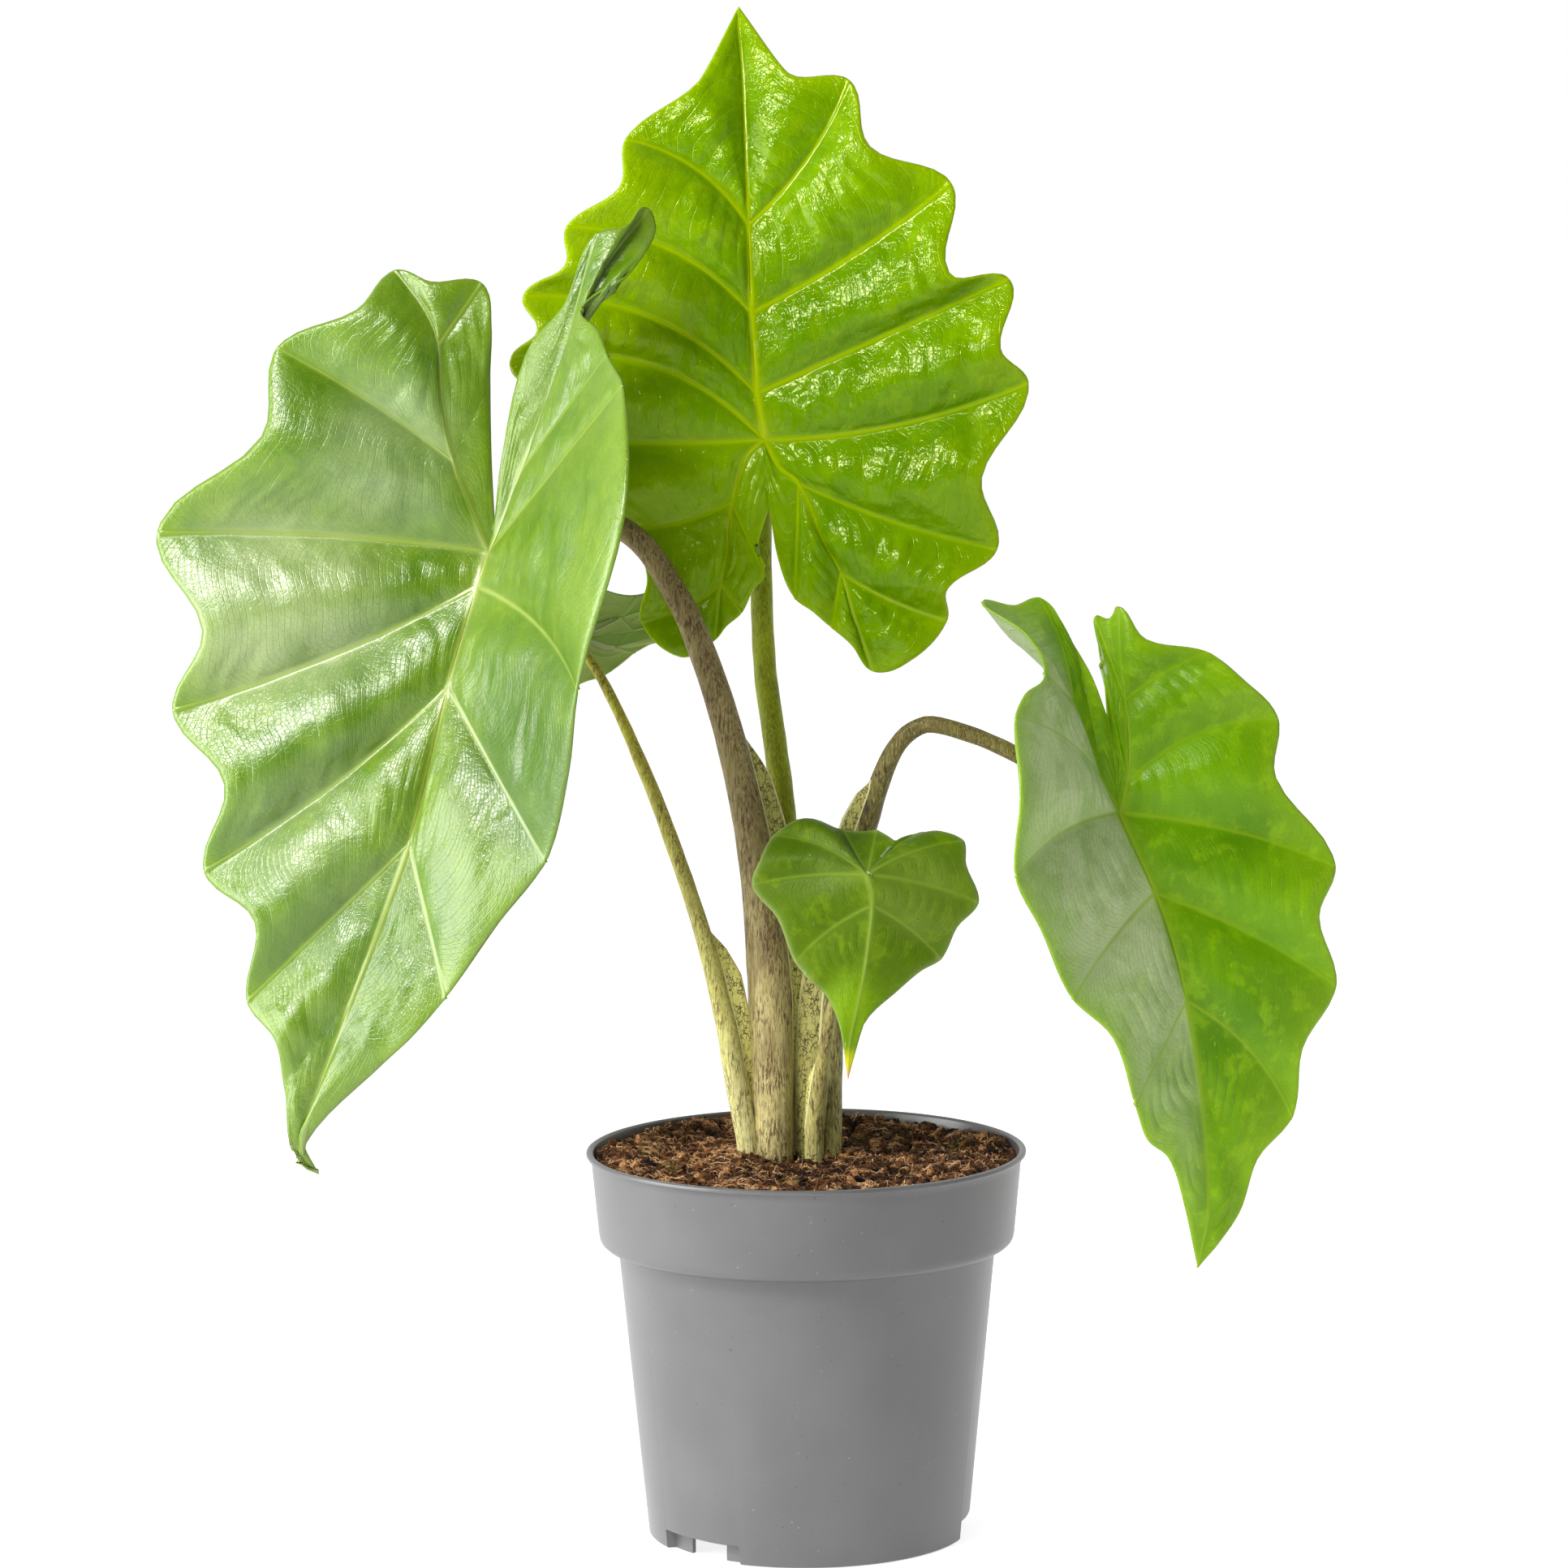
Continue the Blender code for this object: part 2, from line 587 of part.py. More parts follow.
    def rib_depth(self, name, share):
        """Return how far a rib stands out under the blade at a share of its length."""
        depth = self.leaf.rib_depth if name == "midrib" else self.leaf.rib_depth * SIDE_RIB
        return depth * (1 - RIB_TAPER * share)

    def vein_depth(self, vein, out):
        """Return how far a vein stands out under the blade at a share of its length."""
        if not vein.raised:
            return 0.0
        if vein.tip is None:
            rib = self.ribs[vein.rib]
            start = self.start(vein)
            return self.rib_depth(vein.rib, (start + (rib.total - start) * out) / rib.total)
        return self.leaf.rib_depth * SIDE_VEIN * (1 - RIB_TAPER * out)

    def spine_depth(self, index, across):
        """Return how far a rib stands out under the blade between two veins' feet."""
        first, second = self.pair(index)
        low, high = self.start(first), self.start(second)
        name = first.rib if low > high else second.rib
        return self.rib_depth(name, (low + (high - low) * across) / self.ribs[name].total)


def column_shares(width):
    """Return the shares across a panel: a strip beside each vein, then even steps."""
    strip = min(max(RIDGE_HALF_WIDTH / max(width, LEAST_WIDTH), LEAST_STRIP), 1.0 / PANEL_COLUMNS)
    inner = PANEL_COLUMNS - 2
    middle = [strip + (1 - 2 * strip) * step / inner for step in range(inner + 1)]
    return [0.0] + middle + [1.0]


def add_panel(work, depths, blade, index):
    """Add the grid of one panel and note how far each vertex's vein stands out."""
    first, second = blade.pair(index)
    facing = blade.facing(index)
    swell = min(blade.leaf.swell, blade.width(index, SWELL_MEASURE) * SWELL_SHARE)
    made = bmesh.ops.create_grid(
        work, x_segments=PANEL_COLUMNS, y_segments=PANEL_ROWS, size=0.5)
    for vertex in made["verts"]:
        column = round((vertex.co.x + 0.5) * PANEL_COLUMNS)
        out = vertex.co.y + 0.5
        row = round(out * PANEL_ROWS)
        across = column_shares(blade.width(index, row / PANEL_ROWS))[column]
        place = blade.point(index, across, out)
        depth = 0.0
        if column in (0, PANEL_COLUMNS):
            depth = blade.vein_depth(second if column else first, out)
        if row == 0:
            depth = max(depth, blade.spine_depth(index, across))
        if 0 < column < PANEL_COLUMNS and 0 < row < PANEL_ROWS:
            place += facing * (swell * math.sin(math.pi * across) * math.sin(math.pi * out))
        elif row < PANEL_ROWS:
            place += blade.upper * RIDGE * min(1.0, depth)
        vertex.co = place * MM
        depths[vertex] = depth


def make_leaf(leaf, group):
    """Build one leaf as a thin shell with its veins raised on both sides."""
    blade = Blade(leaf)
    work = bmesh.new()
    weights = work.verts.layers.deform.verify()
    depths = {}
    for index in range(len(leaf.veins)):
        add_panel(work, depths, blade, index)
    for vertex in work.verts:
        vertex[weights][0] = depths[vertex] / leaf.rib_depth
    bmesh.ops.remove_doubles(work, verts=work.verts[:], dist=SEAM_WELD * MM)
    bmesh.ops.triangulate(work, faces=work.faces[:])
    finish = plain_material(leaf.name + "_green", leaf.colour, LEAF_ROUGHNESS)
    item = object_from(work, leaf.name, group, finish)
    item.vertex_groups.new(name="veins")
    shell = item.modifiers.new("thickness", "SOLIDIFY")
    shell.thickness = (BLADE + leaf.rib_depth) * MM
    shell.thickness_vertex_group = BLADE / (BLADE + leaf.rib_depth)
    shell.vertex_group = "veins"
    shell.offset = -1.0
    shell.use_rim = True
    item.data.shade_smooth()


def stalk_path(stalk):
    """Return the rings' centres, radii and directions along a stalk."""
    centres = smooth_line([station[:3] for station in stalk.stations], STALK_STEPS)
    radii = []
    for start, end in zip(stalk.stations, stalk.stations[1:]):
        radii += [start[3] + (end[3] - start[3]) * step / STALK_STEPS for step in range(STALK_STEPS)]
    radii.append(stalk.stations[-1][3])
    directions = []
    for index, centre in enumerate(centres):
        before, after = centres[max(index - 1, 0)], centres[min(index + 1, len(centres) - 1)]
        directions.append((after - before).normalized())
    directions[0] = Vector((0, 0, 1))
    directions[1] = Vector((0, 0, 1))
    directions[-1] = Vector(stalk.seat).normalized()
    return centres, radii, directions


def make_stalk(stalk, group):
    """Loft one petiole from its buried foot to its seat under the blade."""
    centres, radii, directions = stalk_path(stalk)
    wing_stops = sorted(stalk.wing)
    side = Vector(stalk.wing_side).normalized()
    work = bmesh.new()
    rings = []
    for centre, radius, direction in zip(centres, radii, directions):
        side = (side - direction * side.dot(direction)).normalized()
        other = direction.cross(side)
        flare = ramp(wing_stops, centre.z)
        ring = []
        for step in range(STALK_SIDES):
            turn = math.tau * step / STALK_SIDES
            reach = radius + flare * max(0.0, math.cos(turn)) ** WING_POWER
            place = centre + (side * math.cos(turn) + other * math.sin(turn)) * reach
            ring.append(work.verts.new(place * MM))
        rings.append(ring)
    for low, high in zip(rings, rings[1:]):
        for step in range(STALK_SIDES):
            after = (step + 1) % STALK_SIDES
            work.faces.new((low[step], low[after], high[after], high[step]))
    work.faces.new(list(reversed(rings[0])))
    work.faces.new(rings[-1])
    finish = plain_material(stalk.name + "_skin", stalk.colour, STALK_ROUGHNESS)
    item = object_from(work, stalk.name, group, finish)
    item.data.shade_smooth()
    item.data.set_sharp_from_angle(angle=SHARP_STALK_EDGE)


def pot_profile():
    """Return the pot's section, from its floor inside, over the rim, to its underside."""
    inner_low = BODY_LOW_R - POT_WALL
    inner_top = BODY_TOP_R - POT_WALL
    floor_top = FLOOR_RISE + FLOOR_THICKNESS
    collar_inner = COLLAR_LOW_R - POT_WALL
    under_well = WELL_R + POT_WALL / 2
    inside = [
        (0, FLOOR_THICKNESS), (WELL_R, FLOOR_THICKNESS), (WELL_R + WELL_SLOPE, floor_top),
        (inner_low - WALL_CORNER, floor_top), (inner_low, floor_top + WALL_CORNER),
        (inner_top, COLLAR_LOW_Z - SHOULDER), (inner_top + RIM_ROUND, COLLAR_LOW_Z + SHOULDER),
        (collar_inner - SHOULDER, COLLAR_LOW_Z + 2 * SHOULDER + RIM_ROUND),
        (collar_inner, COLLAR_LOW_Z + COLLAR_ROUND + SHOULDER),
        (COLLAR_TOP_R - POT_WALL, POT_HEIGHT - RIM_FLANGE), (POT_RIM_R - RIM_LIP, POT_HEIGHT - RIM_ROUND),
    ]
    rim = [
        (POT_RIM_R - RIM_LIP + SHOULDER, POT_HEIGHT), (POT_RIM_R - RIM_ROUND, POT_HEIGHT - RIM_ROUND / 2),
        (POT_RIM_R, POT_HEIGHT - 2 * RIM_ROUND), (POT_RIM_R - RIM_ROUND, POT_HEIGHT - RIM_FLANGE / 2),
        (COLLAR_TOP_R + FOOT_CHAMFER / 4, POT_HEIGHT - RIM_FLANGE),
    ]
    outside = [
        (COLLAR_TOP_R, POT_HEIGHT - RIM_FLANGE - SHOULDER),
        (COLLAR_LOW_R, COLLAR_LOW_Z + COLLAR_ROUND + RIM_ROUND),
        (COLLAR_LOW_R - RIM_ROUND, COLLAR_LOW_Z + COLLAR_ROUND / 2),
        (COLLAR_LOW_R - COLLAR_ROUND / 2, COLLAR_LOW_Z + RIM_ROUND),
        (COLLAR_LOW_R - COLLAR_ROUND, COLLAR_LOW_Z), (BODY_TOP_R + RIM_ROUND, COLLAR_LOW_Z),
        (BODY_TOP_R, COLLAR_LOW_Z - SHOULDER), (BODY_LOW_R, FOOT_HEIGHT + FOOT_CHAMFER),
        (BODY_LOW_R - FOOT_CHAMFER, FOOT_HEIGHT), (FOOT_R, FOOT_HEIGHT - FOOT_CHAMFER),
        (FOOT_R, FOOT_CHAMFER), (FOOT_R - FOOT_CHAMFER, 0),
    ]
    underside = [
        (FOOT_R - FOOT_WALL, 0), (FOOT_R - FOOT_WALL, FLOOR_RISE),
        (under_well + WELL_SLOPE, FLOOR_RISE), (under_well, 0), (0, 0),
    ]
    return inside + rim + outside + underside


def soil_profile():
    """Return the soil's section, from the middle of its top to the middle of its underside."""
    top = [(SOIL_TOP_R * ring / SOIL_TOP_RINGS, SOIL_EDGE_Z) for ring in range(SOIL_TOP_RINGS + 1)]
    inner_low = BODY_LOW_R - POT_WALL - FIT_GAP
    inner_top = BODY_TOP_R - POT_WALL - FIT_GAP
    floor_top = FLOOR_RISE + FLOOR_THICKNESS + FIT_GAP
    collar_inner = COLLAR_LOW_R - POT_WALL - FIT_GAP
    side = [
        (collar_inner - FIT_GAP, COLLAR_LOW_Z + COLLAR_ROUND + SHOULDER + FIT_GAP),
        (collar_inner - SHOULDER - FIT_GAP, COLLAR_LOW_Z + 2 * SHOULDER + 3 * FIT_GAP),
        (inner_top + RIM_ROUND - FIT_GAP, COLLAR_LOW_Z + SHOULDER + 3 * FIT_GAP),
        (inner_top, COLLAR_LOW_Z - SHOULDER), (inner_low, floor_top + WALL_CORNER),
        (inner_low - WALL_CORNER, floor_top), (WELL_R + WELL_SLOPE - FIT_GAP, floor_top),
        (WELL_R - FIT_GAP, FLOOR_THICKNESS + FIT_GAP), (0, FLOOR_THICKNESS + FIT_GAP),
    ]
    return top + side


def turned(name, profile, sides, group, finish):
    """Turn a section round the Z axis into a closed solid."""
    mesh = bpy.data.meshes.new(name)
    places = [(radius * MM, 0, height * MM) for radius, height in profile]
    mesh.from_pydata(places, [(index, index + 1) for index in range(len(places) - 1)], [])
    item = bpy.data.objects.new(name, mesh)
    group.objects.link(item)
    spin = item.modifiers.new("turning", "SCREW")
    spin.axis = "Z"
    spin.angle = math.tau
    spin.steps = sides
    spin.render_steps = sides
    spin.use_merge_vertices = True
    spin.merge_threshold = 0.00005
    spin.use_smooth_shade = False
    solid = bpy.data.meshes.new_from_object(item.evaluated_get(bpy.context.evaluated_depsgraph_get()))
    bpy.data.objects.remove(item)
    solid.name = name
    shaped = bpy.data.objects.new(name, solid)
    solid.materials.clear()
    solid.materials.append(finish)
    group.objects.link(shaped)
    return shaped


def drum(name, radius, low, high, x, y, sides, group):
    """Add an upright cylinder as a cutter."""
    work = bmesh.new()
    bmesh.ops.create_cone(
        work, cap_ends=True, segments=sides, radius1=radius * MM, radius2=radius * MM,
        depth=(high - low) * MM)
    bmesh.ops.translate(work, verts=work.verts[:], vec=Vector((x, y, (low + high) / 2)) * MM)
    return cutter_from(work, name, group)


def cutter_from(work, name, group):
    """Turn a bmesh into a hidden wire object for cutting."""
    mesh = bpy.data.meshes.new(name)
    work.to_mesh(mesh)
    work.free()
    item = bpy.data.objects.new(name, mesh)
    item.hide_render = True
    item.display_type = "WIRE"
    group.objects.link(item)
    return item


def cut(item, cutter):
    """Cut one object out of another with a live Boolean."""
    knife = item.modifiers.new("cut_" + cutter.name, "BOOLEAN")
    knife.operation = "DIFFERENCE"
    knife.object = cutter
    knife.solver = "EXACT"


def make_pot(group, cutters):
    """Build the pot: rim, collar, body, foot ring with notches, floor with drains."""
    finish = plain_material("grey_plastic", (0.31, 0.31, 0.32), 0.42)
    pot = turned("pot", pot_profile(), POT_SIDES, group, finish)
    for index in range(DRAIN_COUNT):
        turn = math.tau * (index + 0.5) / DRAIN_COUNT
        x, y = DRAIN_CIRCLE_R * math.cos(turn), DRAIN_CIRCLE_R * math.sin(turn)
        low, high = FLOOR_RISE - CUTTER_REACH, FLOOR_RISE + FLOOR_THICKNESS + CUTTER_REACH
        cut(pot, drum(f"drain_{index}", DRAIN_R, low, high, x, y, DRAIN_SIDES, cutters))
    for index, degrees in enumerate(NOTCH_TURNS):
        work = bmesh.new()
        bmesh.ops.create_cube(work, size=1.0)
        length = FOOT_WALL + 2 * CUTTER_REACH
        bmesh.ops.scale(work, verts=work.verts[:], vec=Vector((length, NOTCH_WIDTH, 2 * NOTCH_HEIGHT)) * MM)
        bmesh.ops.translate(work, verts=work.verts[:], vec=Vector((FOOT_R - FOOT_WALL / 2, 0, 0)) * MM)
        turn = math.radians(degrees)
        for vertex in work.verts:
            x, y = vertex.co.x, vertex.co.y
            vertex.co.x = x * math.cos(turn) - y * math.sin(turn)
            vertex.co.y = x * math.sin(turn) + y * math.cos(turn)
        cut(pot, cutter_from(work, f"notch_{index}", cutters))
    pot.data.shade_smooth()
    pot.data.set_sharp_from_angle(angle=SHARP_POT_EDGE)


def soil_height(x, y):
    """Return the height of the soil's top, mounded to the stems and lumpy."""
    reach = min(1.0, math.hypot(x, y) / SOIL_TOP_R)
    mound = SOIL_RISE * math.cos(reach * math.pi / 2)
    lumps = sum(share * noise.noise(Vector((x * scale, y * scale, layer)))
                for scale, layer, share in SOIL_WAVES)
    return SOIL_EDGE_Z + mound + SOIL_LUMPS * lumps


def make_soil(group, cutters):
    """Build the soil that fills the pot, with a plain hole for each stalk."""
    finish = plain_material("brown_soil", (0.10, 0.045, 0.022), 0.95)
    soil = turned("soil", soil_profile(), POT_SIDES, group, finish)
    for vertex in soil.data.vertices:
        if vertex.co.z > (SOIL_EDGE_Z - 1) * MM:
            vertex.co.z = soil_height(vertex.co.x / MM, vertex.co.y / MM) * MM
    for stalk in STALKS:
        x, y, low, radius = stalk.stations[0]
        low -= FIT_GAP
        radius += STEM_HOLE_GAP
        cut(soil, drum("hole_" + stalk.name, radius, low, POT_HEIGHT, x, y, STEM_HOLE_SIDES, cutters))


def build():
    """Build the whole plant in its pot."""
    clear_scene()
    plant = new_collection("potted_alocasia")
    cutters = new_collection("cutters")
    make_pot(plant, cutters)
    make_soil(plant, cutters)
    for stalk in STALKS:
        make_stalk(stalk, plant)
    for leaf in LEAVES:
        make_leaf(leaf, plant)


build()
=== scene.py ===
"""A potted alocasia, dressed: waxy lobed leaves, mottled stalks, crumbly soil and a grey pot.

Sizes are in millimetres until a mesh is made. A leaf is drawn as it looks from EYE:
right and up from the point where its stalk joins, and then away from the eye. Its
surface is one grid, wrapped round its ribs like a fan: a row of the grid runs from vein
to vein, and a column runs from a rib out to the margin.
"""
import logging
import math
from dataclasses import dataclass, field
from enum import Enum
from functools import reduce
from typing import Dict, List, Optional, Sequence, Tuple

import bpy
import numpy as np
from mathutils import Matrix, Vector, noise


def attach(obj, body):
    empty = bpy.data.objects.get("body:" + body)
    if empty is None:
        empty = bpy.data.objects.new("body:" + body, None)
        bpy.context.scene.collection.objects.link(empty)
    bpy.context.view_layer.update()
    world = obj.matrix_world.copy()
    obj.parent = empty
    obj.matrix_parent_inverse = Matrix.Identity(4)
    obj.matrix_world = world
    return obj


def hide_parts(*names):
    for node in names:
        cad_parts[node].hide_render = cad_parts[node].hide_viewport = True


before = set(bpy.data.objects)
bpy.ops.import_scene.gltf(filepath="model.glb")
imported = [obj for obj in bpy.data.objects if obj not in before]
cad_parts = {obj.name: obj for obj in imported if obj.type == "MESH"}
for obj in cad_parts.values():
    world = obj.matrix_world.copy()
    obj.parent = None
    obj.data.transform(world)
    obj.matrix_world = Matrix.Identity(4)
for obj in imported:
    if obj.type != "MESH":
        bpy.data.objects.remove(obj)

Point = Tuple[float, float, float]
Colour = Tuple[float, float, float]
Array = np.ndarray

LOG = logging.getLogger("alocasia")
MM = 0.001
ROOT = "root"
SEED = 7
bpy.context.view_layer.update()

EYE = np.array((-8.4, -2628.7, 677.5))
EYE_DIP = math.radians(7.6)
EYE_ROLL = math.radians(-0.42)
FOCAL_SHARE = 7623.0 / 1932.0
SENSOR = 36.0

TIP = -1
SPAN_STEPS = 12
PATCH_CORE = 0.35
LEAST_RIDGE = 0.35
RIDGE_SHARE = 0.32
ROW_EASE = 1.25
SHORT_SPINE = 0.1
SPINE_SHARE = 0.85
CALM_BAND = 5.0
EDGE_CALM = 9.0
SWELL_LIMIT = 0.085
FAINT_VEIN_GAP = 6.0
EDGE_ROUND = 1.1
EDGE_DROP = 0.45
# Width of the band along the margin that is painted paler, as light shining through the thin edge.
MARGIN_GLOW_BAND = 13.0


def tone(red: float, green: float, blue: float) -> Colour:
    """Return a linear colour from the 0 to 255 values of a screen.

    Args:
        red: Red, 0 to 255.
        green: Green, 0 to 255.
        blue: Blue, 0 to 255.

    Returns:
        The linear colour.
    """
    shares = [value / 255.0 for value in (red, green, blue)]
    return tuple(
        share / 12.92 if share <= 0.04045 else ((share + 0.055) / 1.055) ** 2.4 for share in shares)


WHITE = tone(255, 255, 255)
SPLASHED = tone(74, 46, 28)


class Surface(Enum):
    """Which side of a leaf a finish is for."""

    UPPER = "upper"
    LOWER = "lower"
    RIM = "rim"


@dataclass(frozen=True)
class Vein:
    """A spoke of a leaf, from a fork on a rib to a lobe's tip, with the bay after it."""

    rib: str
    fork: int
    bay: Point
    tip: Optional[Point] = None
    bow: float = 0.0
    raised: bool = True
    faint: bool = False


@dataclass(frozen=True)
class Patch:
    """A soft round area of another colour."""

    centre: Point
    reach: float
    colour: Colour
    strength: float


@dataclass(frozen=True)
class LeafFinish:
    """The look of one leaf: its greens, its veins and its gloss."""

    name: str
    deep: Colour
    light: Colour
    warm: Colour
    vein: Colour
    margin: Colour
    under: Colour
    under_vein: Colour
    roughness: float
    gloss: float
    gloss_tint: Colour
    wax: float
    wax_roughness: float
    glow: float
    lace_share: float
    # How strongly the margin band is painted paler: painted light shining through it.
    margin_glow_share: float
    speck: Colour
    crinkle: float = 0.5
    blotch: float = 0.2
    # Painted sheen: a pale colour laid where the blade would reflect the bright wall, and how strong it is.
    painted_sheen: Colour = (0.7, 0.7, 0.5)
    painted_sheen_strength: float = 0.0
    patches: Tuple[Patch, ...] = ()
    tips: Tuple[Patch, ...] = ()


class NodeSheet:
    """A material's nodes, laid down one call at a time."""

    def __init__(self, name: str) -> None:
        """Start a material of the given name with a Principled shader.

        Args:
            name: The material's name.
        """
        self.material = bpy.data.materials.new(name)
        self.material.use_nodes = True
        self.tree = self.material.node_tree
        self.shader = self.tree.nodes["Principled BSDF"]
        self.coordinates = self.tree.nodes.new("ShaderNodeTexCoord").outputs["Object"]

    def put(self, socket: bpy.types.NodeSocket, value: object) -> None:
        """Feed a socket from another socket, a number or a colour.

        Args:
            socket: The input to set.
            value: A socket, a number or a colour.
        """
        if isinstance(value, bpy.types.NodeSocket):
            self.tree.links.new(value, socket)
        elif isinstance(value, tuple) and len(value) == 3 and socket.type == "RGBA":
            socket.default_value = (*value, 1.0)
        else:
            socket.default_value = value

    def node(self, kind: str, inputs: Dict[object, object], **settings: str) -> bpy.types.Node:
        """Add a node.

        Args:
            kind: Its type, without the word ShaderNode.
            inputs: What each of its inputs gets.
            settings: Its settings.

        Returns:
            The node.
        """
        made = self.tree.nodes.new("ShaderNode" + kind)
        for name, value in settings.items():
            setattr(made, name, value)
        for key, value in inputs.items():
            self.put(made.inputs[key], value)
        return made

    def fix(self, constants: Dict[str, object]) -> None:
        """Set constants of the shader by their names."""
        for name, value in constants.items():
            self.put(self.shader.inputs[name], value)

    def value_of(self, name: str) -> object:
        """Return the number that the mesh holds under a name."""
        return self.node("Attribute", {}, attribute_name=name).outputs["Fac"]

    def axis(self, name: str) -> object:
        """Return one of the Object coordinates, X, Y or Z."""
        return self.node("SeparateXYZ", {0: self.coordinates}).outputs[name]

    def sums(self, operation: str, first: object, second: object) -> object:
        """Return the result of a Math node's operation on two values."""
        return self.node("Math", {0: first, 1: second}, operation=operation).outputs[0]

    def times(self, first: object, second: object) -> object:
        """Return the product of two values."""
        return self.sums("MULTIPLY", first, second)

    def total(self, parts: Sequence[Tuple[object, float]]) -> object:
        """Return the sum of values, each multiplied by its weight."""
        products = [self.times(value, weight) for value, weight in parts]
        return reduce(lambda whole, product: self.sums("ADD", whole, product), products)

    def step(self, value: object, low: float, high: float, start: float = 0.0, end: float = 1.0) -> object:
        """Return a smooth step of a value from start to end as it goes from low to high.

        Args:
            value: The value.
            low: Where the step starts.
            high: Where the step ends.
            start: The result at low.
            end: The result at high.

        Returns:
            The output socket.
        """
        inputs = {"Value": value, "From Min": low, "From Max": high, "To Min": start, "To Max": end}
        return self.node("MapRange", inputs, interpolation_type="SMOOTHSTEP").outputs[0]

    def stretched(self, scale: Point, shift: Point = (0.0, 0.0, 0.0)) -> object:
        """Return the Object coordinates, scaled along each axis and then shifted."""
        inputs = {"Vector": self.coordinates, "Scale": scale, "Location": shift}
        return self.node("Mapping", inputs).outputs[0]

    def pushed(self, source: object, size: float, reach: float) -> object:
        """Return coordinates pushed about by up to reach, by a soft noise of a size in metres.

        Args:
            source: The coordinates.
            size: The size of the noise's features, in metres.
            reach: The longest push, in metres.

        Returns:
            The output socket.
        """
        noise = self.node("TexNoise", {"Vector": source, "Scale": 1.0 / size, "Detail": 1.0})
        inputs = {0: noise.outputs["Color"], 1: (reach,) * 3, 2: source}
        return self.node("VectorMath", inputs, operation="MULTIPLY_ADD").outputs[0]

    def grain(self, size: float, detail: float = 3.0, source: object = None, rough: float = 0.5) -> object:
        """Return a noise whose features are about size metres across.

        Args:
            size: The size of a feature, in metres.
            detail: The noise's detail.
            source: The coordinates, or None for Object coordinates.
            rough: The noise's roughness.

        Returns:
            The output socket.
        """
        inputs = {"Vector": source or self.coordinates, "Scale": 1.0 / size, "Detail": detail,
                  "Roughness": rough}
        return self.node("TexNoise", inputs).outputs[0]

    def streaks(self, size: float, detail: float, squash: float, low: float, high: float,
                rough: float = 0.5) -> object:
        """Return a smooth step of a noise that is drawn out along Z.

        Args:
            size: The size of a feature across, in metres.
            detail: The noise's detail.
            squash: A feature's width as a share of its length.
            low: The noise at which the step starts.
            high: The noise at which it ends.
            rough: The noise's roughness.

        Returns:
            The output socket.
        """
        return self.step(self.grain(size, detail, self.stretched((1.0, 1.0, squash)), rough), low, high)

    def edges(self, size: float, source: object = None) -> object:
        """Return how far places are from the edges of cells about size metres across."""
        inputs = {"Vector": source or self.coordinates, "Scale": 1.0 / size}
        return self.node("TexVoronoi", inputs, feature="DISTANCE_TO_EDGE").outputs[0]

    def blend(self, first: object, second: object, share: object) -> object:
        """Return the first colour with a share of the second in it."""
        return self.node("Mix", {0: share, 6: first, 7: second}, data_type="RGBA").outputs[2]

    def layered(self, colour: object, coats: Sequence[Tuple[object, object, float]]) -> object:
        """Return a colour under coats of other colours.

        Args:
            colour: The colour at the bottom.
            coats: Each coat's colour, where it is, 0 to 1, and its strength.

        Returns:
            The output socket.
        """
        for coat, where, strength in coats:
            colour = self.blend(colour, coat, self.times(where, strength))
        return colour

    def patched(self, colour: object, patches: Sequence[Patch], cloud: object = 1.0) -> object:
        """Return a colour with soft round areas of other colours in it.

        Args:
            colour: The colour.
            patches: The areas.
            cloud: What the areas' strength is multiplied by.

        Returns:
            The output socket.
        """
        for patch in patches:
            away = self.stretched((1.0, 1.0, 1.0), tuple(-value * MM for value in patch.centre))
            length = self.node("VectorMath", {0: away}, operation="LENGTH").outputs["Value"]
            reach = patch.reach * MM
            share = self.step(length, reach, reach * PATCH_CORE, 0.0, patch.strength)
            colour = self.blend(colour, patch.colour, self.times(share, cloud))
        return colour

    def bump(self, height: object, depth: float, strength: float = 1.0) -> object:
        """Return a normal bent by a height, where 1 is depth metres."""
        return self.node("Bump", {"Height": height, "Distance": depth, "Strength": strength}).outputs[0]

    def finish(self, colour: object, roughness: object, normal: object = None, glow: float = 0.0,
               glow_colour: object = None) -> bpy.types.Material:
        """Wire the shader up and return the material.

        Args:
            colour: The base colour.
            roughness: The roughness.
            normal: A bent normal, or None.
            glow: How much light comes through from behind, 0 to 1.
            glow_colour: The colour of that light.

        Returns:
            The material.
        """
        self.fix({"Base Color": colour, "Roughness": roughness})
        if normal is not None:
            self.fix({"Normal": normal})
        if glow:
            behind = self.node("BsdfTranslucent", {"Color": glow_colour})
            both = self.node("MixShader", {0: glow, 1: self.shader.outputs[0], 2: behind.outputs[0]})
            self.put(self.tree.nodes["Material Output"].inputs["Surface"], both.outputs[0])
        return self.material


def unit(vectors: Array) -> Array:
    """Return vectors scaled to length 1, with a zero vector left as it is."""
    lengths = np.linalg.norm(vectors, axis=-1, keepdims=True)
    return vectors / np.where(lengths > 1e-9, lengths, 1.0)


def smooth_step(values: Array) -> Array:
    """Return a smooth step from 0 at 0 to 1 at 1."""
    shares = np.clip(values, 0.0, 1.0)
    return shares * shares * (3 - 2 * shares)


